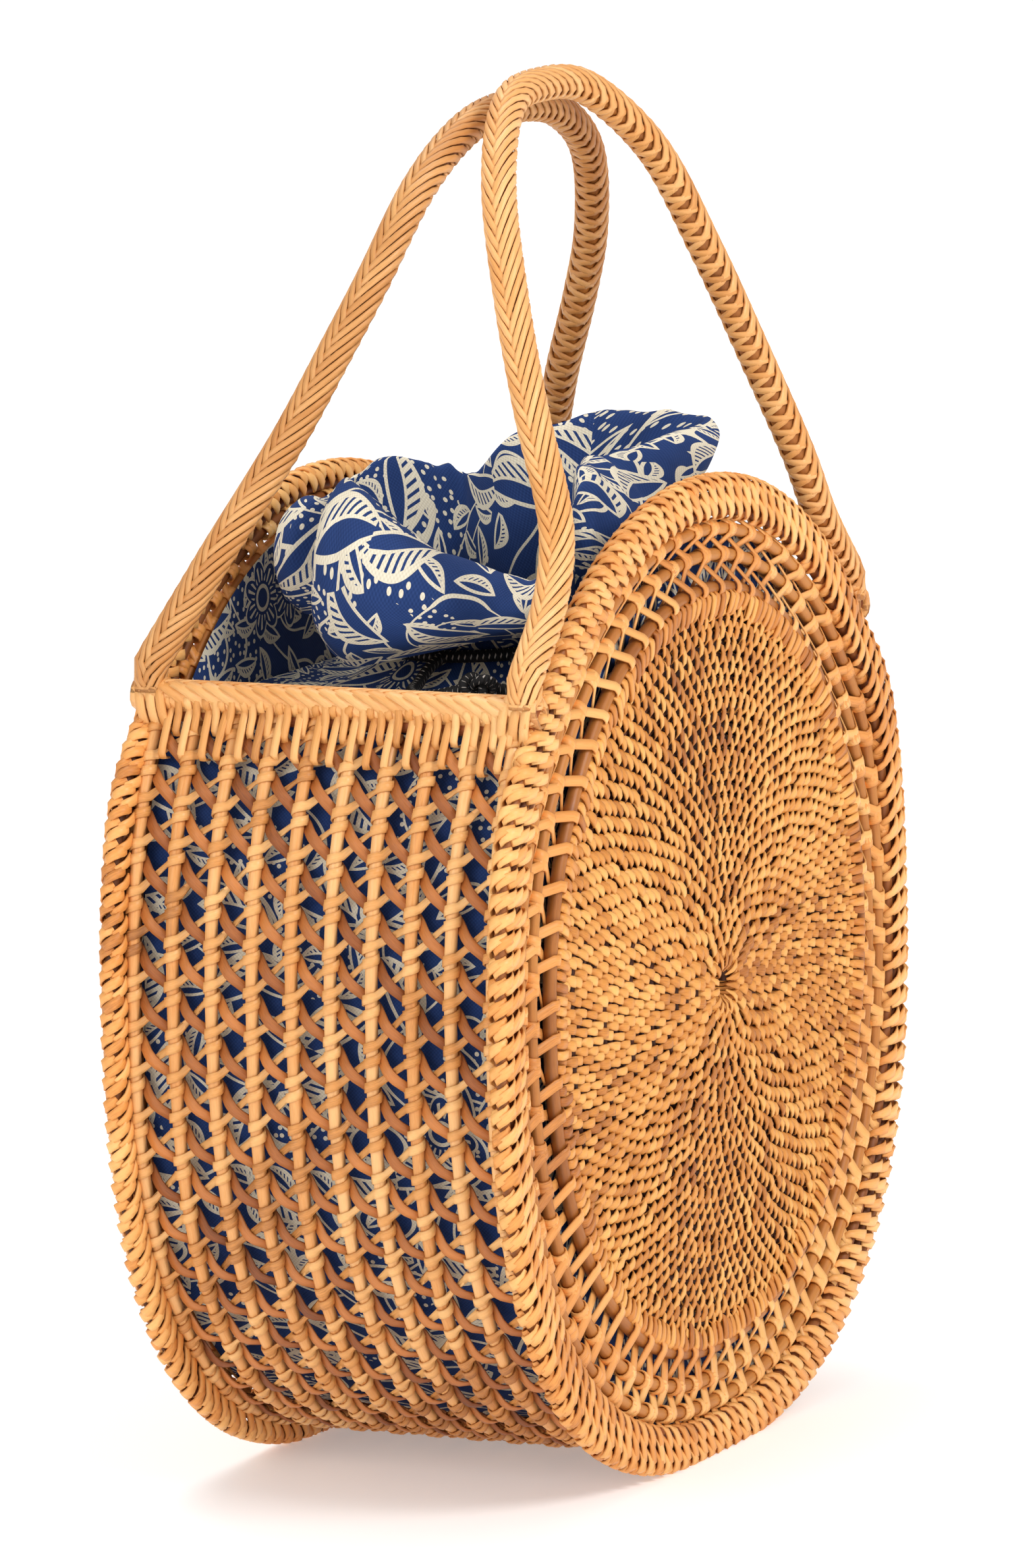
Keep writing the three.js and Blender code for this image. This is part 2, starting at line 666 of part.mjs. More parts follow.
function cordRingGeometry() {
  const rings = [];
  const gap = cordRadius + clearance;
  for (let i = 0; i < cordRingSteps; i += 1) {
    const angle = (i / cordRingSteps) * Math.PI * 2;
    const out = new THREE.Vector3(Math.cos(angle), Math.sin(angle), 0);
    const middle = new THREE.Vector3((neckHalfLength + gap) * out.x, (neckHalfDepth + gap) * out.y, cordLevel);
    const ring = [];
    for (let k = 0; k < cordSides; k += 1) {
      const turn = (k / cordSides) * Math.PI * 2;
      const point = middle.clone().addScaledVector(out, cordRadius * Math.cos(turn));
      point.z += cordRadius * Math.sin(turn);
      ring.push(point);
    }
    rings.push(ring);
  }
  return loft(rings, true);
}

const knotPlace = new THREE.Vector3(-neckHalfLength - knotReach, knotY, tailLevel - cordRadius + knotDiameter / 2);
addPiece('drawcord', cordRingGeometry(), cordBlack, 0.7);
tailRoutes.forEach((route, i) => {
  const points = route.map(([reach, y, rise]) => new THREE.Vector3(-neckHalfLength - reach, y, tailLevel + rise));
  const tail = tube(new THREE.CatmullRomCurve3(points), cordRadius, cordSides, tailSteps);
  addPiece(`drawcord_tail_${i + 1}`, tail, cordBlack, 0.7);
});
const knot = new THREE.SphereGeometry(knotDiameter / 2, 10, 8);
addPiece('drawcord_knot', knot, cordBlack, 0.7).position.copy(knotPlace);

export default bag;
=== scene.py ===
# A round basket bag of coiled and laced cane, with a printed cotton liner and two plaited handles.
# Every length below is in metres: sizes are written in millimetres and multiplied by mm.
import math

import bpy
import numpy as np
from mathutils import Matrix, Vector


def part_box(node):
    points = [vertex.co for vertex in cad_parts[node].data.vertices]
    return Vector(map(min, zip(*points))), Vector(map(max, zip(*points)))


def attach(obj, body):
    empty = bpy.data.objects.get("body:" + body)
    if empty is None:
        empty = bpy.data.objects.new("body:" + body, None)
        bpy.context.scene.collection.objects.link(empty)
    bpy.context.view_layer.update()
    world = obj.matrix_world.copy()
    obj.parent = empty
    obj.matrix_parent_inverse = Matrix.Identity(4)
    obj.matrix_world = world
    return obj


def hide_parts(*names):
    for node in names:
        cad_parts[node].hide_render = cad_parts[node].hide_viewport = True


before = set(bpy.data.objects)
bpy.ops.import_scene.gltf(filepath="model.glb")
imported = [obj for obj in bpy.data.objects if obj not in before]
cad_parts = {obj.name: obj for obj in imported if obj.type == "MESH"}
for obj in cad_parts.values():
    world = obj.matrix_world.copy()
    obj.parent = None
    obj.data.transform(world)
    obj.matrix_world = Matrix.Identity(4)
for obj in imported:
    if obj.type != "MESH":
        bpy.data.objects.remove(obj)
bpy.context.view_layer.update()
mm = 0.001

# The studio: a pale floor with a painted glow, dimmer near the bag and full white further out, and plain soft
# light. The bag is seen from the left of its front face, a little above its middle, through a long lens, with
# the camera turned a little on its axis.
# Each light has a name, a place, a width and a power.
view_azimuth = math.radians(-64.07)
view_elevation = math.radians(9.16)
view_roll = math.radians(1.41)
view_distance = 4.117
view_sideways = 1.6 * mm
view_target = Vector((0, 0, 264.8 * mm))
lens_length = 237.2
sensor_height = 36
sight_limit = 50
lights = (
    ("key_light", (-0.6, -2.2, 1.9), 0.9, 38),
    ("side_light", (-2.4, 0.4, 1.2), 1.2, 17),
    ("top_light", (0.4, 0.6, 2.4), 1.4, 18),
)
world_strength = 0.55
floor_half = 40
floor_white = (0.97, 0.97, 0.97, 1)
floor_roughness = 0.6
# The floor's glow is painted light: dim near the bag, full white from glow_full outwards.
glow_start = 0.7
glow_full = 4.0
glow_near = 0.5
glow_strength = 0.55

view_back = Vector((
    math.sin(view_azimuth) * math.cos(view_elevation),
    -math.cos(view_azimuth) * math.cos(view_elevation),
    math.sin(view_elevation),
))
level_right = Vector((math.cos(view_azimuth), math.sin(view_azimuth), 0))
level_up = view_back.cross(level_right)
view_right = math.cos(view_roll) * level_right - math.sin(view_roll) * level_up
view_up = math.sin(view_roll) * level_right + math.cos(view_roll) * level_up
view_turn = Matrix((view_right, view_up, view_back)).transposed().to_4x4()
view_place = view_target + view_distance * view_back + view_sideways * level_right

camera = bpy.data.objects.new("camera", bpy.data.cameras.new("camera"))
camera.data.sensor_fit = "VERTICAL"
camera.data.sensor_height = sensor_height
camera.data.lens = lens_length
camera.data.clip_end = sight_limit
camera.matrix_world = Matrix.Translation(view_place) @ view_turn
bpy.context.scene.collection.objects.link(camera)
bpy.context.scene.camera = camera
bpy.context.scene.view_settings.view_transform = "Standard"

for name, place, width, power in lights:
    light = bpy.data.objects.new(name, bpy.data.lights.new(name, "AREA"))
    light.data.energy = power
    light.data.size = width
    light.location = place
    light.rotation_euler = (view_target - light.location).to_track_quat("-Z", "Y").to_euler()
    bpy.context.scene.collection.objects.link(light)

world = bpy.data.worlds.new("studio")
world.use_nodes = True
backdrop = world.node_tree.nodes["Background"].inputs
backdrop["Color"].default_value = (1, 1, 1, 1)
backdrop["Strength"].default_value = world_strength
bpy.context.scene.world = world


class Wire:
    """A node's socket. Sums on it add Math nodes, and any other node comes from its node method."""

    def __init__(self, tree, socket=None):
        self.tree = tree
        self.socket = socket

    def node(self, kind, settings, values, output=0):
        made = self.tree.nodes.new(kind)
        for name, setting in settings.items():
            if name == "stops":
                ramp = made.color_ramp
                while len(ramp.elements) < len(setting):
                    ramp.elements.new(1)
                for element, (place, colour) in zip(ramp.elements, setting):
                    element.position = place
                    element.color = (*colour, 1)
            else:
                setattr(made, name, setting)
        for name, value in values.items():
            if isinstance(value, Wire):
                self.tree.links.new(value.socket, made.inputs[name])
            else:
                made.inputs[name].default_value = value
        return Wire(self.tree, made.outputs[output])

    def output(self, name):
        """Another socket of the same node."""
        return Wire(self.tree, self.socket.node.outputs[name])

    def math(self, operation, first, second=0.0, third=0.0):
        values = {0: first, 1: second, 2: third}
        return self.node("ShaderNodeMath", {"operation": operation}, values)

    def __add__(self, other):
        return self.math("ADD", self, other)

    __radd__ = __add__

    def __sub__(self, other):
        return self.math("SUBTRACT", self, other)

    def __rsub__(self, other):
        return self.math("SUBTRACT", other, self)

    def __mul__(self, other):
        return self.math("MULTIPLY", self, other)

    __rmul__ = __mul__

    def __truediv__(self, other):
        return self.math("DIVIDE", self, other)

    def __gt__(self, other):
        return self.math("GREATER_THAN", self, other)

    def __lt__(self, other):
        return self.math("LESS_THAN", self, other)

    def between(self, low, high, first=0.0):
        """A smooth rise from first, at low and below, to 1, at high and above."""
        settings = {"interpolation_type": "SMOOTHSTEP"}
        values = {"Value": self, "From Min": low, "From Max": high, "To Min": first}
        return self.node("ShaderNodeMapRange", settings, values)

    def attribute(self, name):
        return self.node("ShaderNodeAttribute", {"attribute_name": name}, {}, "Fac")

    def vector(self, x, y, z):
        return self.node("ShaderNodeCombineXYZ", {}, {"X": x, "Y": y, "Z": z})

    def noise(self, place, scale, detail=2.0, roughness=0.5):
        values = {"Vector": place, "Scale": scale, "Detail": detail, "Roughness": roughness}
        return self.node("ShaderNodeTexNoise", {}, values, "Fac")

    def mix(self, share, first, second, blend_type="MIX"):
        """Two colours mixed: share 0 gives the first, 1 the second."""
        made = self.tree.nodes.new("ShaderNodeMix")
        made.data_type = "RGBA"
        made.blend_type = blend_type
        for socket, value in zip((made.inputs[0], made.inputs[6], made.inputs[7]), (share, first, second)):
            if isinstance(value, Wire):
                self.tree.links.new(value.socket, socket)
            else:
                socket.default_value = value if isinstance(value, float) else (*value, 1)
        return Wire(self.tree, made.outputs[2])

    def into(self, shader, name):
        self.tree.links.new(self.socket, shader.inputs[name])

    def bump(self, height, strength, distance):
        values = {"Height": height, "Strength": strength, "Distance": distance}
        return self.node("ShaderNodeBump", {}, values)


def new_finish(name):
    """A material, its shader, and a wire that adds its nodes."""
    material = bpy.data.materials.new(name)
    material.use_nodes = True
    return material, material.node_tree.nodes["Principled BSDF"], Wire(material.node_tree)


# The floor glows, which is painted light: dimmer near the bag and full white further out, where the lamps'
# light falls off.
glowing_floor, floor_shader, floor_wire = new_finish("glowing_floor")
floor_place = floor_wire.node("ShaderNodeTexCoord", {}, {}, "Object")
floor_reach = floor_wire.node("ShaderNodeVectorMath", {"operation": "LENGTH"}, {0: floor_place}, "Value")
floor_reach.between(glow_start, glow_full, glow_near).into(floor_shader, "Emission Color")
floor_shader.inputs["Emission Strength"].default_value = glow_strength
floor_shader.inputs["Base Color"].default_value = floor_white
floor_shader.inputs["Roughness"].default_value = floor_roughness
floor_mesh = bpy.data.meshes.new("floor")
floor_corners = [(-floor_half, -floor_half, 0), (floor_half, -floor_half, 0)]
floor_corners += [(floor_half, floor_half, 0), (-floor_half, floor_half, 0)]
floor_mesh.from_pydata(floor_corners, [], [(0, 1, 2, 3)])
floor_mesh.materials.append(glowing_floor)
floor = bpy.data.objects.new("floor", floor_mesh)
bpy.context.scene.collection.objects.link(floor)

# Coiled discs: a core of thin cane wound in a flat spiral from a small eye, sewn row to row with split
# strips. Each stitch humps over its own row, lies on the row inside it and dives between its stitches.
border_low, border_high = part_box("front_border")
half_width = border_high.x
half_height = 195.5 * mm
middle_z = border_high.z - half_height
outer_face = -border_low.y
inner_face = -border_high.y
side_squareness = 2.45
crown_squareness = 2.05
disc_squareness = 2.1
crown_start = math.radians(22)
crown_end = math.radians(40)
disc_inset = 41 * mm
disc_thickness = 5 * mm
disc_dome = 1.8 * mm
disc_radius = half_width - disc_inset
coil_pitch = 4.2 * mm
coil_core = 4.2 * mm
coil_drift = -0.12
core_steps = 72
core_girth = 1.03
core_sunk = 0.8 * mm
eye_radius = 5.5 * mm
eye_strips = 28
eye_reach = 14 * mm
eye_twist = 0.5
eye_heights = np.array((-6.5, -2.2, 0.2, 1.7, 2.3, 0.8)) * mm
eye_shift_x = 11 * mm
eye_shift_z = -8 * mm
eye_sunk = 2.6 * mm
eye_sunk_reach = 5 * mm
stitch_width = 3.1 * mm
stitch_thickness = 1.1 * mm
stitch_reaches = np.array((0.6, 0.3, -0.4, -1.05, -1.65))
stitch_heights = np.array((-0.6, 2.1, 2.95, 2.5, 0.2)) * mm
stitch_girths = np.array((0.62, 0.9, 1.06, 0.96, 0.38))
stitch_thinning = 0.25
band_growth = 1.25
band_cover = 1.3
row_cover = 0.98
last_row_reach = -0.35
last_row_height = 2.3 * mm
edge_cane = 5.6 * mm
edge_points = 216
edge_lift = 1.4 * mm
edge_pitch = 4.6 * mm
edge_strip = 3.7 * mm
edge_reaches = np.array((-0.6, -1, -2, -3.4, -5.2, -7.4, -9.6, -11.2)) * mm
edge_heights = np.array((0.5, 3.2, 4.5, 4.7, 4.4, 3.9, 3, 0.2)) * mm
edge_girths = np.array((1, 1, 1, 1, 1, 0.92, 0.78, 0.4))
edge_leans = np.linspace(-0.1, 0.32, 8)
strip_sides = 6
thin_sides = 8
cane_sides = 10
fibre_stretch = 60
fibre_scale = 3.0
blotch_scale = 38.0
patch_scale = 9.0
edge_darkening = 0.3
worn_streak = 0.22
cane_gloss = 0.45


def colour(red, green, blue):
    """A colour given as the numbers of a screen, 0 to 255, made linear."""
    shares = [value / 255 for value in (red, green, blue)]
    return tuple(s / 12.92 if s <= 0.04045 else ((s + 0.055) / 1.055) ** 2.4 for s in shares)


def cane_finish(name, pale, middle, deep, roughness, grain_depth, evenness=0.0):
    """Split or round cane: each strip has its own shade, fine fibres along it, and darker edges."""
    material, shader, wire = new_finish(name)
    shade = wire.attribute("shade")
    along = wire.attribute("along")
    across = wire.attribute("across")
    place = wire.node("ShaderNodeTexCoord", {}, {}, "Object")
    fibre_place = wire.vector(along * fibre_stretch, across * 1.7 + shade * 37, shade * 91)
    fibre = wire.noise(fibre_place, fibre_scale, 3.0, 0.6)
    blotch = wire.noise(place, blotch_scale, 2.0)
    patch = wire.noise(place, patch_scale, 1.0)
    unevenness = 1 - evenness
    tone = (shade - 0.5) * (0.7 * unevenness) + (blotch - 0.5) * (0.5 * unevenness) + (patch - 0.5) * 0.8
    tone = tone + (fibre - 0.5) * 0.5 + (0.56 + 0.1 * evenness)
    stops = [(0.0, colour(*deep)), (0.4, colour(*middle)), (1.0, colour(*pale))]
    body = wire.node("ShaderNodeValToRGB", {"stops": stops}, {"Fac": tone}, "Color")
    # Each strip and cane is darker towards the edges of its section, and along dark streaks of its fibres.
    edge = (across * across).between(0.5, 0.95)
    streak = fibre.between(0.62, 0.78)
    darkened = wire.mix(edge * edge_darkening + streak * worn_streak, body, colour(*deep))
    darkened.into(shader, "Base Color")
    (fibre * 0.3 + (1 - shade) * 0.12 + roughness - 0.2).into(shader, "Roughness")
    wire.bump(fibre, grain_depth, 0.3 * mm).into(shader, "Normal")
    shader.inputs["Specular IOR Level"].default_value = cane_gloss
    return material


def sweep_tree():
    """Geometry nodes that sweep a flat oval section along lines, with its face turned to each line's out."""
    tree = bpy.data.node_groups.new("strip_sweep", "GeometryNodeTree")
    inputs = {"Lines": "Geometry", "Width": "Float", "Thickness": "Float", "Roundness": "Float"}
    inputs.update({"Sides": "Int", "Material": "Material"})
    for name, kind in inputs.items():
        tree.interface.new_socket(name, in_out="INPUT", socket_type=f"NodeSocket{kind}")
    tree.interface.new_socket("Strips", in_out="OUTPUT", socket_type="NodeSocketGeometry")
    entry = tree.nodes.new("NodeGroupInput").outputs
    given = {socket.name: Wire(tree, socket) for socket in entry if socket.name}
    wire = Wire(tree)

    def squared(axis):
        """A circle's coordinate, pressed towards a square one by Roundness."""
        return wire.math("SIGN", axis) * wire.math("POWER", wire.math("ABSOLUTE", axis), given["Roundness"])

    curve = wire.node("GeometryNodeMeshToCurve", {}, {"Mesh": given["Lines"]})
    out = wire.node("GeometryNodeInputNamedAttribute", {"data_type": "FLOAT_VECTOR"}, {"Name": "out"})
    curve = wire.node("GeometryNodeSetCurveNormal", {"mode": "FREE"}, {"Curve": curve, "Normal": out})
    reach = wire.node("GeometryNodeSplineParameter", {}, {}, "Length")
    along = {"Geometry": curve, "Name": "along", "Value": reach}
    curve = wire.node("GeometryNodeStoreNamedAttribute", {}, along)
    section = wire.node("GeometryNodeCurvePrimitiveCircle", {}, {"Resolution": given["Sides"], "Radius": 1.0})
    place = wire.node("GeometryNodeInputPosition", {}, {})
    inward = wire.node("ShaderNodeSeparateXYZ", {}, {"Vector": place}, "X")
    sideways = inward.output("Y")
    across = {"Geometry": section, "Name": "across", "Value": sideways}
    section = wire.node("GeometryNodeStoreNamedAttribute", {}, across)
    deep = squared(inward) * given["Thickness"] * 0.5
    wide = squared(sideways) * given["Width"] * 0.5
    shaped = {"Geometry": section, "Position": wire.vector(deep, wide, 0.0)}
    section = wire.node("GeometryNodeSetPosition", {}, shaped)
    girth = wire.node("GeometryNodeInputNamedAttribute", {"data_type": "FLOAT"}, {"Name": "girth"})
    swept = {"Curve": curve, "Profile Curve": section, "Scale": girth, "Fill Caps": True}
    mesh = wire.node("GeometryNodeCurveToMesh", {}, swept)
    mesh = wire.node("GeometryNodeSetShadeSmooth", {}, {"Geometry": mesh, "Shade Smooth": True})
    mesh = wire.node("GeometryNodeRealizeInstances", {}, {"Geometry": mesh})
    mesh = wire.node("GeometryNodeSetMaterial", {}, {"Geometry": mesh, "Material": given["Material"]})
    tree.links.new(mesh.socket, tree.nodes.new("NodeGroupOutput").inputs["Strips"])
    return tree


strip_sweep = sweep_tree()


class Strands:
    """Centre lines of strips, each point with the way its face looks, its girth and its strip's shade."""

    def __init__(self):
        self.points = []
        self.outs = []
        self.girths = []
        self.shades = []
        self.edges = []
        self.count = 0

    def add(self, points, outs, girths, shades, closed=False):
        """One strip of points, or many: points and outs (strips, points, 3), girths (strips, points)."""
        points = np.asarray(points, float)
        points = points.reshape(-1, *points.shape[-2:])
        strips, length = points.shape[:2]
        self.points.append(points.reshape(-1, 3))
        self.outs.append(np.broadcast_to(outs, points.shape).reshape(-1, 3))
        self.girths.append(np.broadcast_to(girths, points.shape[:2]).reshape(-1))
        self.shades.append(np.repeat(np.broadcast_to(shades, strips), length))
        numbers = self.count + np.arange(strips * length).reshape(strips, length)
        self.edges.append(np.stack([numbers[:, :-1], numbers[:, 1:]], 2).reshape(-1, 2))
        if closed:
            self.edges.append(np.stack([numbers[:, -1], numbers[:, 0]], 1))
        self.count += strips * length

    def swept(self, width, thickness, sides, material):
        """The strips as a plain mesh."""
        lines = bpy.data.meshes.new("lines")
        points = np.concatenate(self.points)
        edges = np.concatenate(self.edges)
        lines.vertices.add(len(points))
        lines.vertices.foreach_set("co", points.astype(np.float32).ravel())
        lines.edges.add(len(edges))
        lines.edges.foreach_set("vertices", edges.astype(np.int32).ravel())
        outs = np.concatenate(self.outs).astype(np.float32)
        lines.attributes.new("out", "FLOAT_VECTOR", "POINT").data.foreach_set("vector", outs.ravel())
        for name, values in (("girth", self.girths), ("shade", self.shades)):
            numbers = np.concatenate(values).astype(np.float32)
            lines.attributes.new(name, "FLOAT", "POINT").data.foreach_set("value", numbers)
        holder = bpy.data.objects.new("lines", lines)
        bpy.context.scene.collection.objects.link(holder)
        modifier = holder.modifiers.new("sweep", "NODES")
        modifier.node_group = strip_sweep
        split = thickness < width / 2
        sizes = {"Width": width, "Thickness": thickness, "Sides": sides, "Material": material}
        sizes["Roundness"] = 0.5 if split else 1.0
        for item in strip_sweep.interface.items_tree:
            if item.in_out == "INPUT" and item.name in sizes:
                modifier[item.identifier] = sizes[item.name]
        evaluated = holder.evaluated_get(bpy.context.evaluated_depsgraph_get())
        mesh = bpy.data.meshes.new_from_object(evaluated)
        bpy.data.objects.remove(holder)
        bpy.data.meshes.remove(lines)
        if split:
            ends = np.empty(2 * len(mesh.edges), np.int32)
            mesh.edges.foreach_get("vertices", ends)
            ends = ends.reshape(-1, 2)
            lengthwise = np.abs(ends[:, 0] - ends[:, 1]) == sides
            crisp = lengthwise & (ends[:, 0] % sides % (sides // 2) > 0)
            mesh.attributes.new("sharp_edge", "BOOLEAN", "EDGE").data.foreach_set("value", crisp)
        return mesh


def round_cane(line, out, diameter, sides, material, shade, closed=False, girth=1):
    """One round cane or cord along a line, as a plain mesh."""
    strands = Strands()
    strands.add(line, out, girth, shade, closed)
    return strands.swept(diameter, diameter, sides, material)


def piece_of(name, meshes, slot, *nodes, body="basket"):
    """A piece joined from meshes, which rides on a body and stands for CAD nodes. Its finish slot is not
    used.
    """
    parts = []
    for mesh in meshes:
        part = bpy.data.objects.new(name, mesh)
        bpy.context.scene.collection.objects.link(part)
        parts.append(part)
    piece = parts[0]
    if len(parts) > 1:
        with bpy.context.temp_override(active_object=piece, selected_editable_objects=parts):
            bpy.ops.object.join()
    piece.name = name
    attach(piece, body)
    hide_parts(*nodes)
    return piece


def outline(angle, inset, crowned=True):
    """Points (x, z) of the bag's outline at polar angles, moved in from its edge."""
    squareness = side_squareness + (disc_squareness - side_squareness) * np.minimum(inset / disc_inset, 1)
    if crowned:
        lift = np.clip((np.arcsin(np.sin(angle)) - crown_start) / (crown_end - crown_start), 0, 1)
        rounder = np.minimum(squareness, crown_squareness)
        squareness = squareness + (rounder - squareness) * lift * lift * (3 - 2 * lift)
    across = np.abs(np.cos(angle)) / (half_width - inset)
    upward = np.abs(np.sin(angle)) / (half_height - inset)
    radius = (across ** squareness + upward ** squareness) ** (-1 / squareness)
    return radius * np.cos(angle), middle_z + radius * np.sin(angle)


def stacked(*axes):
    """Points from arrays of their coordinates, spread to one shape."""
    return np.stack(np.broadcast_arrays(*axes), -1)


def on_disc(radius, angle, lift, side):
    """A point on a disc's face, radius away from its eye and raised by lift. Side is -1 at the front."""
    share = radius / disc_radius
    edge_x, edge_z = outline(angle, disc_inset)
    x = edge_x * share + eye_shift_x * (1 - share)
    z = middle_z + (edge_z - middle_z) * share + eye_shift_z * (1 - share)
    y = side * (inner_face + disc_thickness + disc_dome * (1 - share * share) + lift - coil_core / 2)
    return stacked(x, y, z)


coil_gold = cane_finish("coil_gold", (248, 186, 102), (218, 142, 60), (140, 70, 22), 0.5, 0.35, 0.1)
coil_amber = cane_finish("coil_amber", (246, 178, 92), (212, 132, 52), (136, 66, 20), 0.45, 0.35)
edge_brown = cane_finish("edge_brown", (192, 122, 52), (148, 84, 30), (84, 42, 12), 0.45, 0.25)
# The core's very dark browns are partly its own colour and partly painted shade: they darken the gaps between
# the stitches.
core_brown_and_shade = cane_finish("core_brown_and_shade", (120, 62, 26), (72, 34, 13), (34, 14, 5), 0.6, 0.35)


def coil_disc(face, side, seed):
    """One disc: its core, its rows of stitches from the eye out, and its edge cane with strips over it."""
    chance = np.random.default_rng(seed)
    out = np.array((0, side, 0))
    sewn = disc_radius - edge_cane - eye_radius
    turns = int(sewn / coil_pitch)
    pitch = sewn / turns
    angle = np.arange(turns * core_steps) / core_steps * 2 * np.pi
    radius = eye_radius + pitch * (0.5 + angle / (2 * np.pi))
    sunk = core_sunk + eye_sunk * np.exp((eye_radius - radius) / eye_sunk_reach)
    core = Strands()
    core.add(on_disc(radius, angle, -sunk, side), out, 1, 0.3)
    edge_line = disc_radius - edge_cane / 2
    edge_angle = np.linspace(0, 2 * np.pi, edge_points, endpoint=False)
    edge_ring = on_disc(edge_line, edge_angle, edge_lift, side)

    share = np.linspace(0, 1, len(eye_heights))
    eye_angle = (np.arange(eye_strips)[:, None] + 0.5) / eye_strips * 2 * np.pi + share * eye_twist
    eye_way = eye_radius + (eye_reach - eye_radius) * share
    eye_girth = np.clip(eye_way * 2 * np.pi / eye_strips / stitch_width, 0.3, 1.0)
    stitches = Strands()
    stitches.add(on_disc(eye_way, eye_angle, eye_heights, side), out, eye_girth, chance.random(eye_strips))
    last_count = eye_strips / 2
    for row in range(1, turns + 1):
        radius = eye_radius + pitch * (row + 0.5)
        band = math.floor(math.log(radius / eye_reach) / math.log(band_growth))
        count = round(eye_strips / 2 * band_growth ** max(band, 0))
        cover = row_cover if count == last_count else band_cover
        last_count = count
        step = 2 * np.pi / count
        first = step * (0.5 * (row % 2) + coil_drift * row)
        middle = first + step * (np.arange(count) + chance.normal(0, 0.04, count))
        reach = stitch_reaches * pitch
        height = stitch_heights
        if row == turns:
            reach = np.minimum(reach, last_row_reach * pitch)
            height = np.minimum(height, last_row_height)
        lean = coil_drift * reach / pitch * step
        width = stitch_girths * step * radius / 2 / stitch_width * cover
        way = radius + reach + chance.normal(0, 0.025, (count, 1)) * pitch
        lift = height + chance.normal(0, 0.12, (count, 1)) * mm
        thinner = 1 - stitch_thinning * np.sin(middle[:, None]) ** 2
        girth = width * thinner * (1 + chance.normal(0, 0.05, (count, 1)))
        stitches.add(on_disc(way, middle[:, None] + lean, lift, side), out, girth, chance.random(count))

    count = round(2 * np.pi * disc_radius / edge_pitch)
    step = 2 * np.pi / count
    middle = step * (np.arange(count) + chance.normal(0, 0.08, count))
    reach = edge_reaches * (1 + chance.normal(0, 0.13, (count, 1)))
    lean = edge_leans * step + chance.normal(0, 0.06, (count, 1)) * step
    lift = edge_heights + chance.normal(0, 0.15, (count, 1)) * mm
    girth = edge_girths * edge_strip / stitch_width
    edge_stitches = Strands()
    edge_places = on_disc(edge_line + reach, middle[:, None] + lean, lift, side)
    edge_stitches.add(edge_places, out, girth, chance.random(count))
    meshes = [
        stitches.swept(stitch_width, stitch_thickness, strip_sides, coil_gold),
        edge_stitches.swept(stitch_width, stitch_thickness, strip_sides, coil_amber),
        core.swept(coil_pitch * core_girth, coil_core, strip_sides, core_brown_and_shade),
        round_cane(edge_ring, out, edge_cane, cane_sides, edge_brown, 0.6, True),
    ]
    piece_of(f"{face}_coiled_disc", meshes, "coil", f"{face}_coil_disc")


coil_disc("front", -1, 11)
coil_disc("back", 1, 12)

# Hoops: two round canes bent to the outline, which run round each disc in the openwork zone.
# They are bare between the knots that hold them.
hoop_diameter = 5.2 * mm
hoop_insets = (31 * mm, 20.8 * mm)
hoop_middle = inner_face + hoop_diameter / 2
ring_points = 240
hoop_brown = cane_finish("hoop_brown", (214, 144, 66), (174, 106, 42), (98, 52, 18), 0.5, 0.2)


def ring_place(angle, inset, depth, side):
    """A point round the disc: inset from the bag's outline, at a depth in from its outer face."""
    x, z = outline(angle, inset)
    return stacked(x, side * (outer_face - depth), z)


def run_up(steps):
    """How far along a line each of its points lies, from the lengths of the steps between them."""
    return np.concatenate([[0], np.cumsum(steps)])


def even_angles(inset, count):
    """Angles that step evenly along the outline."""
    fine = np.linspace(0, 2 * np.pi, 2000)
    x, z = outline(fine, inset)
    reach = run_up(np.hypot(np.diff(x), np.diff(z)))
    return np.interp(np.arange(count) / count * reach[-1], reach, fine)


for face, side in (("front", -1), ("back", 1)):
    for number, inset in enumerate(hoop_insets, 1):
        line = ring_place(even_angles(inset, ring_points), inset, outer_face - hoop_middle, side)
        mesh = round_cane(line, (0, side, 0), hoop_diameter, cane_sides, hoop_brown, 0.5, True)
        piece_of(f"{face}_hoop_cane_{number}", [mesh], "cane_brown", f"{face}_hoop_{number}")

# Ties: split strips that sew the disc's edge, the two hoops and the border to each other. Each strip goes
# round one ring, crosses to the back of the next, goes round that one and crosses back a little further on.
tie_pitch = 15.6 * mm
tie_width = 4.4 * mm
tie_thickness = 0.9 * mm
tie_wraps = 6
tie_shift = 0.52
tie_step = 7 * mm
tie_edge_rise = 2.2 * mm
tie_border_inset = 13.5 * mm
tie_gold = cane_finish("tie_gold", (252, 196, 120), (232, 154, 76), (152, 82, 32), 0.42, 0.3, 0.2)


def ring_turn(inset, radius, rise, start, end, place, advance, points, face):
    """Rows of a strip's way round a ring: inset, depth, place along the outline, its face out and forward."""
    turn = np.radians(np.linspace(start, end, points))
    insets = inset - radius * np.cos(turn)
    depths = outer_face - hoop_middle - rise - radius * np.sin(turn)
    places = place + np.linspace(0, advance, points)
    return np.stack([insets, depths, places, face * np.cos(turn), face * np.sin(turn)], 1)


def laid(rows, angle, radius, side):
    """The points and faces of a strip from such rows, laid on from an angle of the outline."""
    turned = angle + rows[:, 2] / radius
    points = ring_place(turned, rows[:, 0], rows[:, 1], side)
    outs = np.stack([rows[:, 3] * np.cos(turned), side * rows[:, 4], rows[:, 3] * np.sin(turned)], 1)
    return points, outs


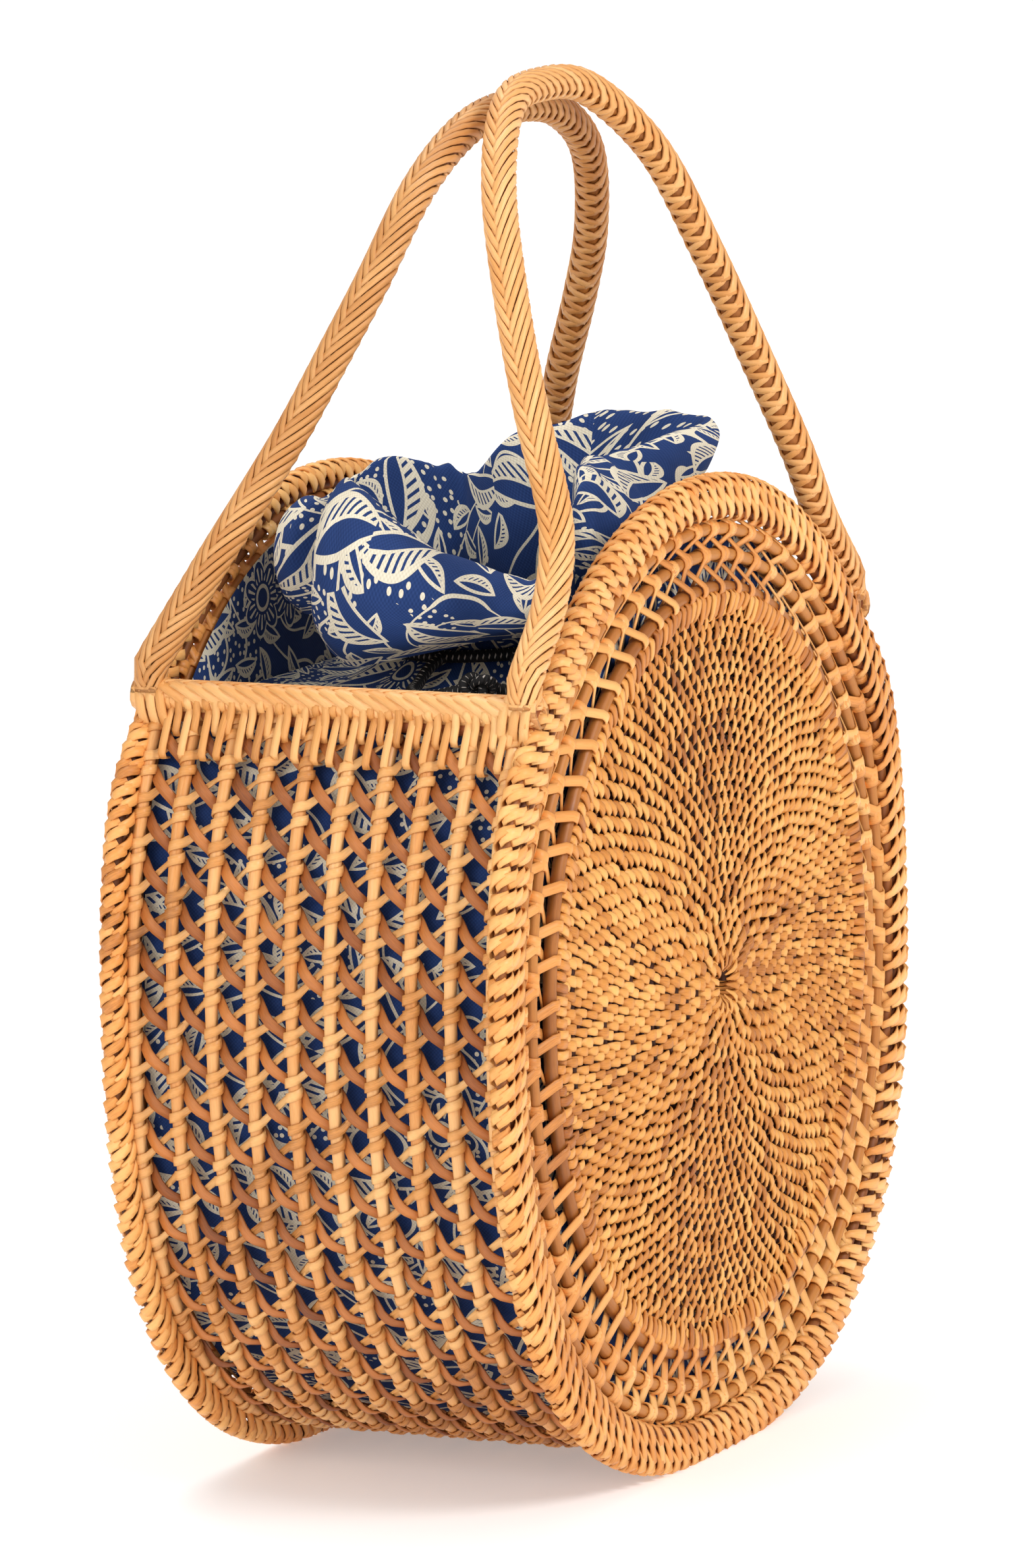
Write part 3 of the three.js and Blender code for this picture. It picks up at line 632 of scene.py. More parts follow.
def ties(face, side, seed):
    """The three rings of ties of one disc, each of several strips that start where the last one ended."""
    chance = np.random.default_rng(seed)
    strands = Strands()
    radius = (hoop_diameter + tie_thickness) / 2
    rings = (disc_inset + edge_cane / 2, *hoop_insets, tie_border_inset)
    count = round(2 * np.pi * (half_width - hoop_insets[0]) / tie_pitch)
    for number, (inner, outer) in enumerate(zip(rings, rings[1:])):
        gap_middle = (inner + outer) / 2
        gap_radius = half_width - gap_middle
        angles = even_angles(gap_middle, count) + 2 * np.pi * tie_shift * number / count
        places = (np.unwrap(np.append(angles, angles[0] + 2 * np.pi)) - angles[0]) * gap_radius
        rise = tie_edge_rise if number == 0 else 0
        rows = []
        for tie, place in enumerate(places):
            place = place + chance.normal(0, 0.9) * mm
            inner_way = chance.normal(1.5, 0.4) * mm
            outer_way = chance.normal(4.2, 0.4) * mm
            rows.append(ring_turn(inner, radius + rise / 5, rise, -50, -310, place, inner_way, 12, -1))
            rows.append(ring_turn(outer, radius, 0, 230, 850, place + tie_step, outer_way, 22, 1))
            if tie % tie_wraps == tie_wraps - 1 or tie == count:
                points, outs = laid(np.concatenate(rows), angles[0], gap_radius, side)
                shade = chance.random()
                strands.add(points, outs, chance.normal(1, 0.05), shade)
                rows = rows[-1:]
    mesh = strands.swept(tie_width, tie_thickness, strip_sides, tie_gold)
    piece_of(f"{face}_openwork_ties", [mesh], "strip_gold", f"{face}_ties")


ties("front", -1, 21)
ties("back", 1, 22)

# Borders: a thick ring of three canes, bound over and over with five rows of strips that lean and lock into
# each other. The bag stands on the two borders. A cane's place is its inset and depth, with its girth.
border_pitch = 8.2 * mm
border_strip = 4.5 * mm
border_strip_thickness = 1.1 * mm
border_stitch = 11.5 * mm
border_stitch_points = 8
border_lean = 8.5 * mm
border_hump = 1.7 * mm
border_sunk = 0.5 * mm
border_rows = np.array((0, 5.4, 10.8, 16.2, 21.6)) * mm
border_cane = 5.4 * mm
border_cane_lowest = 3 * mm
border_cane_places = ((3, 3.6, 1.0), (8.2, 3.2, 0.9), (13, 3.2, 0.9))
border_core = cane_finish("border_core", (164, 98, 44), (120, 66, 26), (62, 32, 12), 0.55, 0.3)
border_gold = cane_finish("border_gold", (252, 194, 118), (232, 154, 76), (152, 80, 32), 0.45, 0.3, 0.25)
section_insets = np.array((17, 15.5, 12, 3.4, 1.2, 0, 0, 0.8, 3.2, 9)) * mm
section_depths = np.array((3, 0.6, 0, 0, 0.8, 2.6, 4.6, 6.4, 7.2, 7.2)) * mm
section_reach = run_up(np.hypot(np.diff(section_insets), np.diff(section_depths)))


def border_wraps(strands, angles, start, end, side, chance):
    """Strips across the border's section, from one reach of it to another, leaning along the outline."""
    share = np.linspace(0, 1, border_stitch_points)
    reach = start + (end - start) * share
    insets = np.interp(reach, section_reach, section_insets)
    depths = np.interp(reach, section_reach, section_depths)
    ahead = reach + 0.5 * mm
    slope_in = np.interp(ahead, section_reach, section_insets) - insets
    slope_deep = np.interp(ahead, section_reach, section_depths) - depths
    steep = np.maximum(np.hypot(slope_in, slope_deep), 1e-6)
    way_out = slope_deep / steep
    way_front = -slope_in / steep
    hump = border_hump * np.sin(np.pi * share) ** 0.6 - border_sunk
    lean = -side * border_lean * share
    rows = np.stack([insets - way_out * hump, depths - way_front * hump, lean, way_out, way_front], 1)
    for angle in angles:
        points, outs = laid(rows, angle, half_width - rows[:, 0], side)
        points[:, 2] = np.maximum(points[:, 2], border_strip_thickness / 2)
        taper = 1 - 0.5 * share[::-1] ** 3 + chance.normal(0, 0.04)
        strands.add(points, outs, taper, chance.random())


def border(face, side, seed):
    """One border: its canes and its rows of strips."""
    chance = np.random.default_rng(seed)
    cores = Strands()
    for inset, depth, girth in border_cane_places:
        angle = even_angles(inset * mm, ring_points)
        points = ring_place(angle, inset * mm, depth * mm, side)
        points[:, 2] = np.maximum(points[:, 2], border_cane_lowest)
        cores.add(points, (0, side, 0), girth, chance.random(), True)
    strands = Strands()
    count = round(2 * np.pi * (half_width + half_height) / 2 / border_pitch)
    step = 2 * np.pi / count
    places = even_angles(0, count)
    jitter = chance.normal(0, 0.05, (3, count)) * step
    for row, start in enumerate(border_rows):
        end = min(start + border_stitch, section_reach[-1])
        offset = row % 2 * step / 2 + row * border_stitch / 2 / half_width
        border_wraps(strands, places + offset + jitter[row % 3], start, end, side, chance)
    meshes = [
        strands.swept(border_strip, border_strip_thickness, strip_sides, border_gold),
        cores.swept(border_cane, border_cane, thin_sides, border_core),
    ]
    piece_of(f"{face}_coiled_border", meshes, "strip_gold", f"{face}_border")


border("front", -1, 31)
border("back", 1, 32)

# Gusset canes: ten round canes, side by side, that run down the left side, under the bottom and up the right.
# Their ends are bound to the rim rods.
cane_inset = 9 * mm
cane_diameter = 5.2 * mm
cane_count = 10
cane_points = 170
cane_end = 2 * mm
cane_sway = 0.35 * mm
sway_length = 31 * mm
rod_low, rod_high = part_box("left_rim_rod")
rod_z = (rod_low.z + rod_high.z) / 2
rim_x = -(rod_low.x + rod_high.x) / 2
rim_angle = math.atan2(rod_z - middle_z, rim_x)
path_angles = np.linspace(np.pi - rim_angle, 2 * np.pi + rim_angle, 1600)
path_x, path_z = outline(path_angles, cane_inset, False)
path_reach = run_up(np.hypot(np.diff(path_x), np.diff(path_z)))
path_length = path_reach[-1]
path_out_x = np.gradient(path_z, path_reach)
path_out_z = -np.gradient(path_x, path_reach)
gusset_gold = cane_finish("gusset_gold", (244, 192, 128), (220, 150, 82), (146, 84, 38), 0.4, 0.22, 0.2)


def gusset_out(reach):
    """The way that the gusset looks, at lengths along its path."""
    x = np.interp(reach, path_reach, path_out_x)
    z = np.interp(reach, path_reach, path_out_z)
    size = np.hypot(x, z)
    return np.stack([x / size, np.zeros_like(x), z / size], -1)


def on_gusset(reach, y, lift):
    """A point at a reach along the gusset's path and a place across it, raised from the canes' middles."""
    x = np.interp(reach, path_reach, path_x)
    z = np.interp(reach, path_reach, path_z)
    return stacked(x, y, z) + np.asarray(lift)[..., None] * gusset_out(reach)


cane_ys = []
cane_chance = np.random.default_rng(41)
cane_reach = np.linspace(cane_end, path_length - cane_end, cane_points)
for number in range(1, cane_count + 1):
    node = f"gusset_cane_{number:02d}"
    low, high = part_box(node)
    cane_ys.append((low.y + high.y) / 2)
    y = cane_ys[-1] + cane_sway * np.sin(cane_reach / sway_length + number * 2.1)
    line = on_gusset(cane_reach, y, 0 * cane_reach)
    shade = cane_chance.random()
    mesh = round_cane(line, gusset_out(cane_reach), cane_diameter, thin_sides, gusset_gold, shade)
    piece_of(f"side_cane_{number:02d}", [mesh], "cane_gold", node)

# Light lacing: smooth split strips that climb one row from cane to cane towards the front of the bag,
# with a full turn round each cane. Those that get past the first cane end on the front border.
lace_row = 17.6 * mm
lace_width = 4.1 * mm
lace_thickness = 0.95 * mm
lace_start = 4 * mm
lace_end = path_length - lace_start
lace_radius = (cane_diameter + lace_thickness) / 2
turn_points = 15
lace_turn = np.radians(np.linspace(15, 525, turn_points))
lace_climb = np.linspace(4.2, -4.2, turn_points) * mm
tail_reach = np.array((-4, -6.5)) * mm
tail_y = np.array((-4.5, -6.5)) * mm
tail_lift = np.array((3.5, 7.5)) * mm
lace_gold = cane_finish("lace_gold", (246, 192, 124), (218, 148, 78), (140, 80, 36), 0.42, 0.3, 0.1)
lace_chance = np.random.default_rng(51)


def lace_runs():
    """For each strip, the canes that it reaches and how far along the gusset it meets the first cane."""
    first = lace_start - lace_row * (cane_count - 1)
    for start in np.arange(first, lace_end, lace_row):
        reaches = start + lace_row * np.arange(cane_count)
        inside = np.flatnonzero((reaches > lace_start) & (reaches < lace_end))
        if len(inside):
            yield start, inside


light_strands = Strands()
for start, canes in lace_runs():
    points = []
    outs = []
    for cane in canes[::-1]:
        reach = start + lace_row * cane + lace_chance.normal(0, 0.8) * mm + lace_climb
        y = cane_ys[cane] + lace_radius * np.cos(lace_turn)
        points.append(on_gusset(reach, y, lace_radius * np.sin(lace_turn)))
        face = np.sin(lace_turn)[:, None] * gusset_out(reach)
        face[:, 1] += np.cos(lace_turn)
        outs.append(face)
    if canes[0] == 0:
        points.append(on_gusset(start + tail_reach, cane_ys[0] + tail_y, tail_lift))
        outs.append(gusset_out(start + tail_reach))
    light_strands.add(np.concatenate(points), np.concatenate(outs), 1, lace_chance.random())
light_mesh = light_strands.swept(lace_width, lace_thickness, strip_sides, lace_gold)
piece_of("light_lacing", [light_mesh], "strip_gold", "gusset_lacing_light")

# Dark lacing: rougher, redder strips that cross the other way, behind the canes and over the light strips
# between them.
dark_width = 4.8 * mm
dark_thickness = 1 * mm
dark_lift = -0.55 * mm
dark_wave = 2.7 * mm
gap_share = np.linspace(0, 1, 9)[:-1]
cane_pitch = cane_ys[1] - cane_ys[0]
lace_red = cane_finish("lace_red", (204, 126, 62), (152, 84, 36), (78, 36, 14), 0.5, 0.6)
dark_strands = Strands()
for start, canes in lace_runs():
    points = []
    outs = []
    canes = cane_count - 1 - canes[::-1]
    top = start + lace_row * (cane_count - 1)
    for cane in canes:
        share = gap_share if cane < canes[-1] else np.array((0.0,))
        reach = top - lace_row * (cane + share)
        lift = dark_lift - dark_wave * np.cos(2 * np.pi * share)
        points.append(on_gusset(reach, cane_ys[cane] + cane_pitch * share, lift))
        outs.append(gusset_out(reach))
    points = np.concatenate(points)
    if len(points) > 1:
        dark_strands.add(points, np.concatenate(outs), 1, lace_chance.random())
dark_mesh = dark_strands.swept(dark_width, dark_thickness, strip_sides, lace_red)
piece_of("dark_lacing", [dark_mesh], "strip_red", "gusset_lacing_dark")

# Rims: the top edge of the gusset on each side. A rod lies across the cane ends, bound to them with short
# and long loops of split strip, and a flat herringbone plait covers it. A thin cane lies under short beads.
# Each loop is given by how far down and how far out from the canes its points lie, in millimetres.
rim_plait_pitch = 3.6 * mm
rim_climb = 21 * mm
rim_strip = 4.2 * mm
rim_half_height = 5.8 * mm
rim_half_depth = 4.9 * mm
rim_core = 8 * mm
rim_end = outer_face - 2 * mm
rim_points = 60
plait_strip_thickness = 1 * mm
plait_settle = 1.8 * mm
plait_turns = np.radians((24, 8, -14, -38, -62, -88, -118, -150, -182, -214, -246, -268))
plait_climbs = np.array((0, 0.16, 0.36, 0.6, 0.82, 1, 1.13, 1.2, 1.24, 1.28, 1.31, 1.33))
plait_lifts = np.array((-1.2, -0.2, 0.45, 0.6, 0.4, 0.1, -0.1, -0.1, 0, 0.1, -0.2, -1.2)) * mm
plait_girths = np.array((0.8, 0.95, 1, 1, 1.08, 1.3, 1.35, 1.2, 1.1, 1.05, 1, 0.8))
rim_braid_low, rim_braid_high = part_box("left_rim_braid")
rim_braid_z = (rim_braid_low.z + rim_braid_high.z) / 2 - plait_settle
rod_diameter = rod_high.z - rod_low.z
loop_pitch = 8 * mm
loop_width = 3.3 * mm
loop_thickness = 1.1 * mm
short_loop = ((-5.5, -4.6, -2.6, -0.5, 2, 5, 8, 9.4, 8.2), (2.5, 5.2, 6.2, 5.6, 4.6, 4.1, 3.4, 1.6, -1.5))
long_loop = ((-3.4, -2, 0.5, 4, 9, 14, 17, 18.2, 17), (1, 3.6, 4.4, 4.3, 4.1, 3.8, 3.2, 1.2, -2))
bead_loop = ((-5, -4.6, -3.4, -1.8, -0.6, -0.2), (2.2, 5.0, 6.4, 6.4, 5.0, 2.4))
bead_cane = 2.8 * mm
bead_rise = 2.6 * mm
bead_out = 1.8 * mm
bead_end = 3 * mm
bead_points = 40
lash_places = np.array((73.5, 78, 82.5)) * mm
lash_half_depth = 6.2 * mm
lash_reach = 6.6 * mm
lash_lean = 1.6 * mm
lash_girth = 1.2
plait_gold = cane_finish("plait_gold", (250, 196, 130), (228, 158, 86), (150, 86, 36), 0.4, 0.3, 0.45)
loop_gold = cane_finish("loop_gold", (250, 196, 128), (224, 154, 82), (142, 80, 34), 0.42, 0.3, 0.2)
rod_red = cane_finish("rod_red", (196, 116, 62), (150, 80, 40), (80, 38, 18), 0.5, 0.3)


def plait(strands, line, faces, half_face, half_side, pitch, climb_length, chance):
    """Strips plaited over a line: each rises at the middle of the face, slants to an edge, crosses below."""
    reach = run_up(np.linalg.norm(np.diff(line, axis=0), axis=1))
    ahead = np.gradient(line, reach, axis=0)
    ahead /= np.linalg.norm(ahead, axis=1)[:, None]
    faces = faces - np.sum(faces * ahead, 1)[:, None] * ahead
    faces /= np.linalg.norm(faces, axis=1)[:, None]
    sides = np.cross(ahead, faces)

    def follow(values, where):
        return np.stack([np.interp(where, reach, values[:, axis]) for axis in range(3)], -1)

    forward = np.cos(plait_turns)[:, None]
    climb = plait_climbs * climb_length
    hand = 1
    for start in np.arange(-climb[-1], reach[-1], pitch):
        hand = -hand
        sideways = hand * np.sin(plait_turns)[:, None]
        where = np.clip(start + climb + chance.normal(0, 0.15) * mm, 0, reach[-1])
        front = follow(faces, where)
        beside = follow(sides, where)
        points = follow(line, where) + (half_face + plait_lifts)[:, None] * forward * front
        points += (half_side + plait_lifts)[:, None] * sideways * beside
        strands.add(points, forward * front + sideways * beside, plait_girths, chance.random())


def rim(name, side, seed):
    """One rim: its plait, then the canes under it, then the loops, lashings and bead that bind it."""
    chance = np.random.default_rng(seed)
    out = (side, 0, 0)
    y = np.linspace(rim_end, -rim_end, rim_points)
    braid_line = stacked(side * rim_x, y, rim_braid_z)
    braid = Strands()
    faces = np.broadcast_to(np.array((side * 0.3, 0, 0.95)), braid_line.shape)
    plait(braid, braid_line, faces, rim_half_height, rim_half_depth, rim_plait_pitch, rim_climb, chance)
    braid_mesh = braid.swept(rim_strip, plait_strip_thickness, strip_sides, plait_gold)
    piece_of(f"{name}_rim_plait", [braid_mesh], "strip_gold", f"{name}_rim_braid")
    rod_meshes = [
        round_cane(stacked(side * rim_x, y, rod_z), out, rod_diameter, cane_sides, rod_red, 0.5),
        round_cane(braid_line, out, rim_core, thin_sides, rod_red, 0.2),
    ]
    piece_of(f"{name}_rim_cane", rod_meshes, "strip_red", f"{name}_rim_rod")

    loops = Strands()
    top = 0 if side < 0 else path_length
    for number in range(int(2 * inner_face / loop_pitch)):
        for (drops, lifts), shift in ((short_loop, 0), (long_loop, 0.42), (bead_loop, 0.5)):
            place = -inner_face + (number + 0.3 + shift) * loop_pitch + chance.normal(0, 0.3) * mm
            drops = np.array(drops) * (1 + chance.normal(0, 0.05))
            lifts = np.array(lifts) + chance.normal(0, 0.15)
            lean = np.linspace(0, chance.normal(0.9, 0.9), len(drops)) * mm
            reach = np.clip(top - side * drops * mm, 0, path_length)
            points = on_gusset(reach, place + lean, lifts * mm)
            points[:, 2] -= np.minimum(drops, 0) * mm
            ahead = np.gradient(np.stack([drops, lifts], 1), axis=0)
            ahead /= np.linalg.norm(ahead, axis=1)[:, None]
            faces = ahead[:, :1] * gusset_out(reach) + ahead[:, 1:] * np.array((0, 0, 1))
            loops.add(points, faces, 1, chance.random())
    lash_turn = np.linspace(0, 2 * np.pi, 20, endpoint=False)
    lash_x = side * rim_x + side * lash_half_depth * np.cos(lash_turn)
    lash_z = (rim_braid_z + rod_z) / 2 + ((rim_braid_z - rod_z) / 2 + lash_reach) * np.sin(lash_turn)
    lash_out = stacked(side * np.cos(lash_turn), 0, np.sin(lash_turn))
    for end in (-1, 1):
        for place in lash_places:
            lash_y = end * (place + lash_lean * np.sin(lash_turn)) + chance.normal(0, 0.2) * mm
            loops.add(stacked(lash_x, lash_y, lash_z), lash_out, lash_girth, chance.random(), True)
    bead_y = np.linspace(inner_face - bead_end, bead_end - inner_face, bead_points)
    bead_line = stacked(side * (rim_x + bead_out), bead_y, rod_z + bead_rise)
    loop_meshes = [
        loops.swept(loop_width, loop_thickness, strip_sides, loop_gold),
        round_cane(bead_line, out, bead_cane, thin_sides, loop_gold, 0.6),
    ]
    piece_of(f"{name}_rim_loops", loop_meshes, "strip_gold", f"{name}_rim_binding")


rim("left", -1, 61)
rim("right", 1, 62)

# Handles: a bent cane core under a herringbone plait, with the plait's face on the outside of the bend.
# The feet stand on the corners of the rim. A leg's points are shares of the way up,
# of the way out from the middle, and of the lean inwards.
handle_radius = 6.3 * mm
handle_core = 2 * handle_radius - 2 * mm
handle_strip = 2.5 * mm
handle_pitch = 3.15 * mm
handle_climb = 26 * mm
handle_steps = 14
foot_depth = 9 * mm
foot_y = outer_face - handle_radius - 0.3 * mm
foot_z = rim_braid_high.z + 4.8 * mm
front_lean = 60 * mm
back_lean = 87 * mm
front_leg = ((0, 1, 0), (0.13, 0.83, 0.01), (0.25, 0.745, 0.06), (0.46, 0.672, 0.31))
front_leg += ((0.65, 0.59, 0.53), (0.85, 0.461, 0.76), (0.98, 0.225, 0.96))
back_leg = ((0, 1, 0), (0.1, 0.985, 0.15), (0.2, 0.97, 0.3), (0.42, 0.813, 0.55))
back_leg += ((0.58, 0.73, 0.72), (0.71, 0.651, 0.845), (0.88, 0.5, 0.96), (0.975, 0.27, 1))


def smooth_through(knots, steps):
    """A centripetal curve through points, with steps points for each span."""
    knots = np.asarray(knots, float)
    ends = np.concatenate([[2 * knots[0] - knots[1]], knots, [2 * knots[-1] - knots[-2]]])
    pieces = []
    for first, second, third, fourth in zip(ends, ends[1:], ends[2:], ends[3:]):
        chords = (second - first, third - second, fourth - third)
        times = run_up([np.linalg.norm(chord) ** 0.5 for chord in chords])
        at = np.linspace(times[1], times[2], steps, endpoint=False)[:, None]

        def between(low, high, start, end):
            return (low * (end - at) + high * (at - start)) / (end - start)

        a1 = between(first, second, times[0], times[1])
        a2 = between(second, third, times[1], times[2])
        a3 = between(third, fourth, times[2], times[3])
        b1 = between(a1, a2, times[0], times[2])
        b2 = between(a2, a3, times[1], times[3])
        pieces.append(between(b1, b2, times[1], times[2]))
    return np.concatenate(pieces + [knots[-1:]])


plait_brown = cane_finish("plait_brown", (230, 174, 110), (198, 132, 68), (126, 70, 28), 0.4, 0.3, 0.45)


def handle(name, leg, side, lean, finish, seed):
    """One handle, from foot to foot. Its right leg mirrors the left one."""
    chance = np.random.default_rng(seed)
    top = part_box(f"{name}_braid")[1].z - handle_radius
    left = []
    for rise, width, inward in leg:
        left.append((-rim_x * width, side * (foot_y - lean * inward), foot_z + (top - foot_z) * rise))
    apex = [(0, side * (foot_y - lean), top)]
    right = [(-x, y, z) for x, y, z in reversed(left)]
    line = smooth_through(left + apex + right, handle_steps)
    below = (0, 0, foot_depth)
    line = np.concatenate([line[:1] - below, line, line[-1:] - below])
    faces = np.cross(np.gradient(line, axis=0), (0, 1, 0))
    strands = Strands()
    plait(strands, line, faces, handle_radius, handle_radius, handle_pitch, handle_climb, chance)
    meshes = [
        strands.swept(handle_strip, plait_strip_thickness, strip_sides, finish),
        round_cane(line, faces, handle_core, thin_sides, hoop_brown, 0.3),
    ]
    piece_of(f"{name}_plait", meshes, "strip_gold", f"{name}_braid", f"{name}_core", body=name)


handle("front_handle", front_leg, -1, front_lean, plait_gold, 71)
handle("back_handle", back_leg, 1, back_lean, plait_brown, 72)

# Liner panels: two flat pieces of printed cotton canvas, one inside each disc, sewn to the liner's side band.
# They show between the hoops, and the back one shows above the rim.
liner_inset = 17 * mm
panel_y = inner_face - 1.7 * mm
panel_top = 374 * mm
panel_ripple = 0.5 * mm
thread_pitch = 0.77 * mm
leaf_cell = 37 * mm
small_leaf_cell = 19 * mm
dot_cell = 4.4 * mm
flower_share = 0.1
petal_count = 7
print_blue = colour(27, 51, 100)
faded_blue = colour(50, 78, 138)
print_cream = colour(238, 230, 208)
faded_cream = colour(176, 164, 136)


def scattered(wire, place, cell, shift):
    """The place inside its own cell of a loose grid, turned its own way, and a chance of that cell."""
    grid = wire.node("ShaderNodeVectorMath", {"operation": "SCALE"}, {"Vector": place, "Scale": 1 / cell})
    grid = wire.node("ShaderNodeVectorMath", {"operation": "ADD"}, {0: grid, 1: (shift, shift * 0.7, 0)})
    settings = {"voronoi_dimensions": "2D", "feature": "F1"}
    values = {"Vector": grid, "Scale": 1.0, "Randomness": 0.65}
    nearest = wire.node("ShaderNodeTexVoronoi", settings, values, "Position")
    chances = wire.node("ShaderNodeSeparateColor", {}, {"Color": nearest.output("Color")}, "Red")
    offset = wire.node("ShaderNodeVectorMath", {"operation": "SUBTRACT"}, {0: grid, 1: nearest})
    turn = {"Vector": offset, "Angle": chances * 6.283}
    turned = wire.node("ShaderNodeVectorRotate", {"rotation_type": "Z_AXIS"}, turn)
    x = wire.node("ShaderNodeSeparateXYZ", {}, {"Vector": turned}, "X")
    return x, x.output("Y"), chances.output("Green")


def leaf(wire, x, y, length, width, line):
    """A curved leaf, half filled and veined, half bare: where it is cream, and where it covers the ground."""
    bent = y + x * x * 0.5 - 0.04
    side = wire.math("ABSOLUTE", bent)
    depth = (1 - x * x / (length * length)) * width - side
    inside = depth > 0
    rim = depth < line
    rib = side < line * 0.4
    veins = (wire.math("SINE", (x + side * 0.9) * 62) > 0.35) * (depth > line * 1.6)
    filled = (bent > 0) * (1 - veins)
    drawn = wire.math("MAXIMUM", rim, wire.math("MAXIMUM", rib, filled))
    return drawn * inside, inside


def daisy(wire, x, y, radius, petals):
    """A flower with outlined petals round a ringed heart: where it is cream, and where it covers."""
    away = wire.math("SQRT", x * x + y * y)
    turn = wire.math("ARCTAN2", y, x)
    edge = (wire.math("ABSOLUTE", wire.math("COSINE", turn * (petals / 2))) * 0.34 + 0.66) * radius
    depth = edge - away
    inside = depth > 0
    rim = depth < 0.032
    heart = (away < radius * 0.34) * (away > radius * 0.24)
    rays = (wire.math("SINE", turn * petals * 3) > 0.35) * (away > radius * 0.42) * (depth > 0.09)
    drawn = wire.math("MAXIMUM", rim, wire.math("MAXIMUM", heart, rays))
    return drawn * inside, inside


def printed_cotton():
    """Blue canvas, printed with cream leaves, daisies, stems and dots, with threads that show close up."""
    material, shader, wire = new_finish("printed_cotton")
    place = wire.node("ShaderNodeUVMap", {"uv_map": "flat"}, {}, "UV")
    x, y, pick = scattered(wire, place, leaf_cell, 0.4)
    big_drawn, big_inside = leaf(wire, x, y, 0.52, 0.23, 0.04)
    flower_drawn, flower_inside = daisy(wire, x, y, 0.44, petal_count)
    is_flower = pick > 1 - flower_share
    first_drawn = is_flower * flower_drawn + (1 - is_flower) * big_drawn
    first_inside = is_flower * flower_inside + (1 - is_flower) * big_inside
    x, y, pick = scattered(wire, place, small_leaf_cell, 5.3)
    small_drawn, small_inside = leaf(wire, x, y, 0.5, 0.21, 0.06)
    small_drawn = small_drawn * (1 - first_inside)
    covered = wire.math("MAXIMUM", first_inside, small_inside)
    bend = wire.noise(place, 19.0, 0.0)
    stem = (wire.math("ABSOLUTE", wire.math("FRACT", bend * 7) - 0.5) < 0.045) * (1 - covered)
    x, y, pick = scattered(wire, place, dot_cell, 2.1)
    dots = (x * x + y * y < 0.045) * (1 - covered) * (wire.noise(place, 17.0, 0.0) > 0.56)
    leaves = wire.math("MAXIMUM", first_drawn, small_drawn)
    cream = wire.math("MAXIMUM", leaves, wire.math("MAXIMUM", stem, dots))
    u = wire.node("ShaderNodeSeparateXYZ", {}, {"Vector": place}, "X")
    warp = wire.math("SINE", u * (math.pi / thread_pitch))
    weft = wire.math("SINE", u.output("Y") * (math.pi / thread_pitch))
    weave = warp * weft
    fade = wire.noise(place, 60.0, 3.0)
    blue = wire.mix(fade * 0.5 + weave * 0.24, print_blue, faded_blue)
    pale = wire.mix(fade * 0.4 + weave * 0.2, print_cream, faded_cream)
    wire.mix(cream, blue, pale).into(shader, "Base Color")
    wire.bump(weave, 0.25, 0.25 * mm).into(shader, "Normal")
    shader.inputs["Roughness"].default_value = 0.85
    shader.inputs["Specular IOR Level"].default_value = 0.25
    return material


cotton = printed_cotton()


def cloth(name, points, across, along, node):
    """A sheet of cotton through a grid of points, with its flat places in metres, for a CAD node."""
    rows, columns = points.shape[:2]
    numbers = np.arange(rows * columns).reshape(rows, columns)
    corners = (numbers[:-1, :-1], numbers[:-1, 1:], numbers[1:, 1:], numbers[1:, :-1])
    faces = np.stack(corners, -1).reshape(-1, 4)
    mesh = bpy.data.meshes.new(name)
    mesh.from_pydata(points.reshape(-1, 3).tolist(), [], faces.tolist())
    flat = stacked(across, along).reshape(-1, 2)
    mesh.uv_layers.new(name="flat").data.foreach_set("uv", flat[faces.ravel()].astype(np.float32).ravel())
    mesh.shade_smooth()
    mesh.materials.append(cotton)
    return piece_of(name, [mesh], "printed_cotton", node)


def liner_panel(face, side):
    """One panel, cut to the disc's outline and straight at the top, with slight ripples."""
    angle = np.linspace(0, 2 * np.pi, 145)
    share = np.linspace(0.02, 1, 40)[:, None]
    edge_x, edge_z = outline(angle, liner_inset)
    x = edge_x * share
    z = np.minimum(middle_z + (edge_z - middle_z) * share, panel_top)
    ripple = panel_ripple * np.sin(x / (21 * mm) + 0.8 * np.sin(z / (33 * mm))) * (1 - share ** 8)
    points = np.stack([x, side * (panel_y - panel_ripple + ripple), z], -1)
    piece = cloth(f"{face}_liner_panel", points, side * x + 0.4 * side, z, f"liner_{face}_panel")


liner_panel("front", -1)
liner_panel("back", 1)

# Liner side band: a long strip of the same cotton behind the gusset canes, from rim to rim under the bottom.
# It is sewn to both panels and shows in the gaps of the lacing.
band_lift = cane_inset - liner_inset
band_half = panel_y - 1.2 * mm
band_reach = np.linspace(0, path_length, 220)[:, None]
band_y = np.linspace(-band_half, band_half, 40)
band_wave = 0.8 * mm * np.sin(band_reach / (26 * mm) + 2 * np.sin(band_y / (29 * mm)))
band_wave += 0.4 * mm * np.sin(band_reach / (9 * mm) + band_y / (17 * mm))
band_points = on_gusset(band_reach + 0 * band_y, band_y + 0 * band_reach, band_lift + band_wave)
liner_band = cloth("liner_side_band", band_points, band_y, band_reach, "liner_gusset")

# Shoulder: the part of the liner that closes the top. It is sewn to the band and panels at its edge
# and drawn together in pleats at the neck by the cord.
shoulder_z = 313 * mm
neck_x = 62 * mm
neck_y = 38 * mm
cord_z = 326 * mm
edge_half_x = 139 * mm
edge_half_y = band_half - 0.4 * mm
edge_squareness = 7
around = np.linspace(0, 2 * np.pi, 361)
gather_count = 26


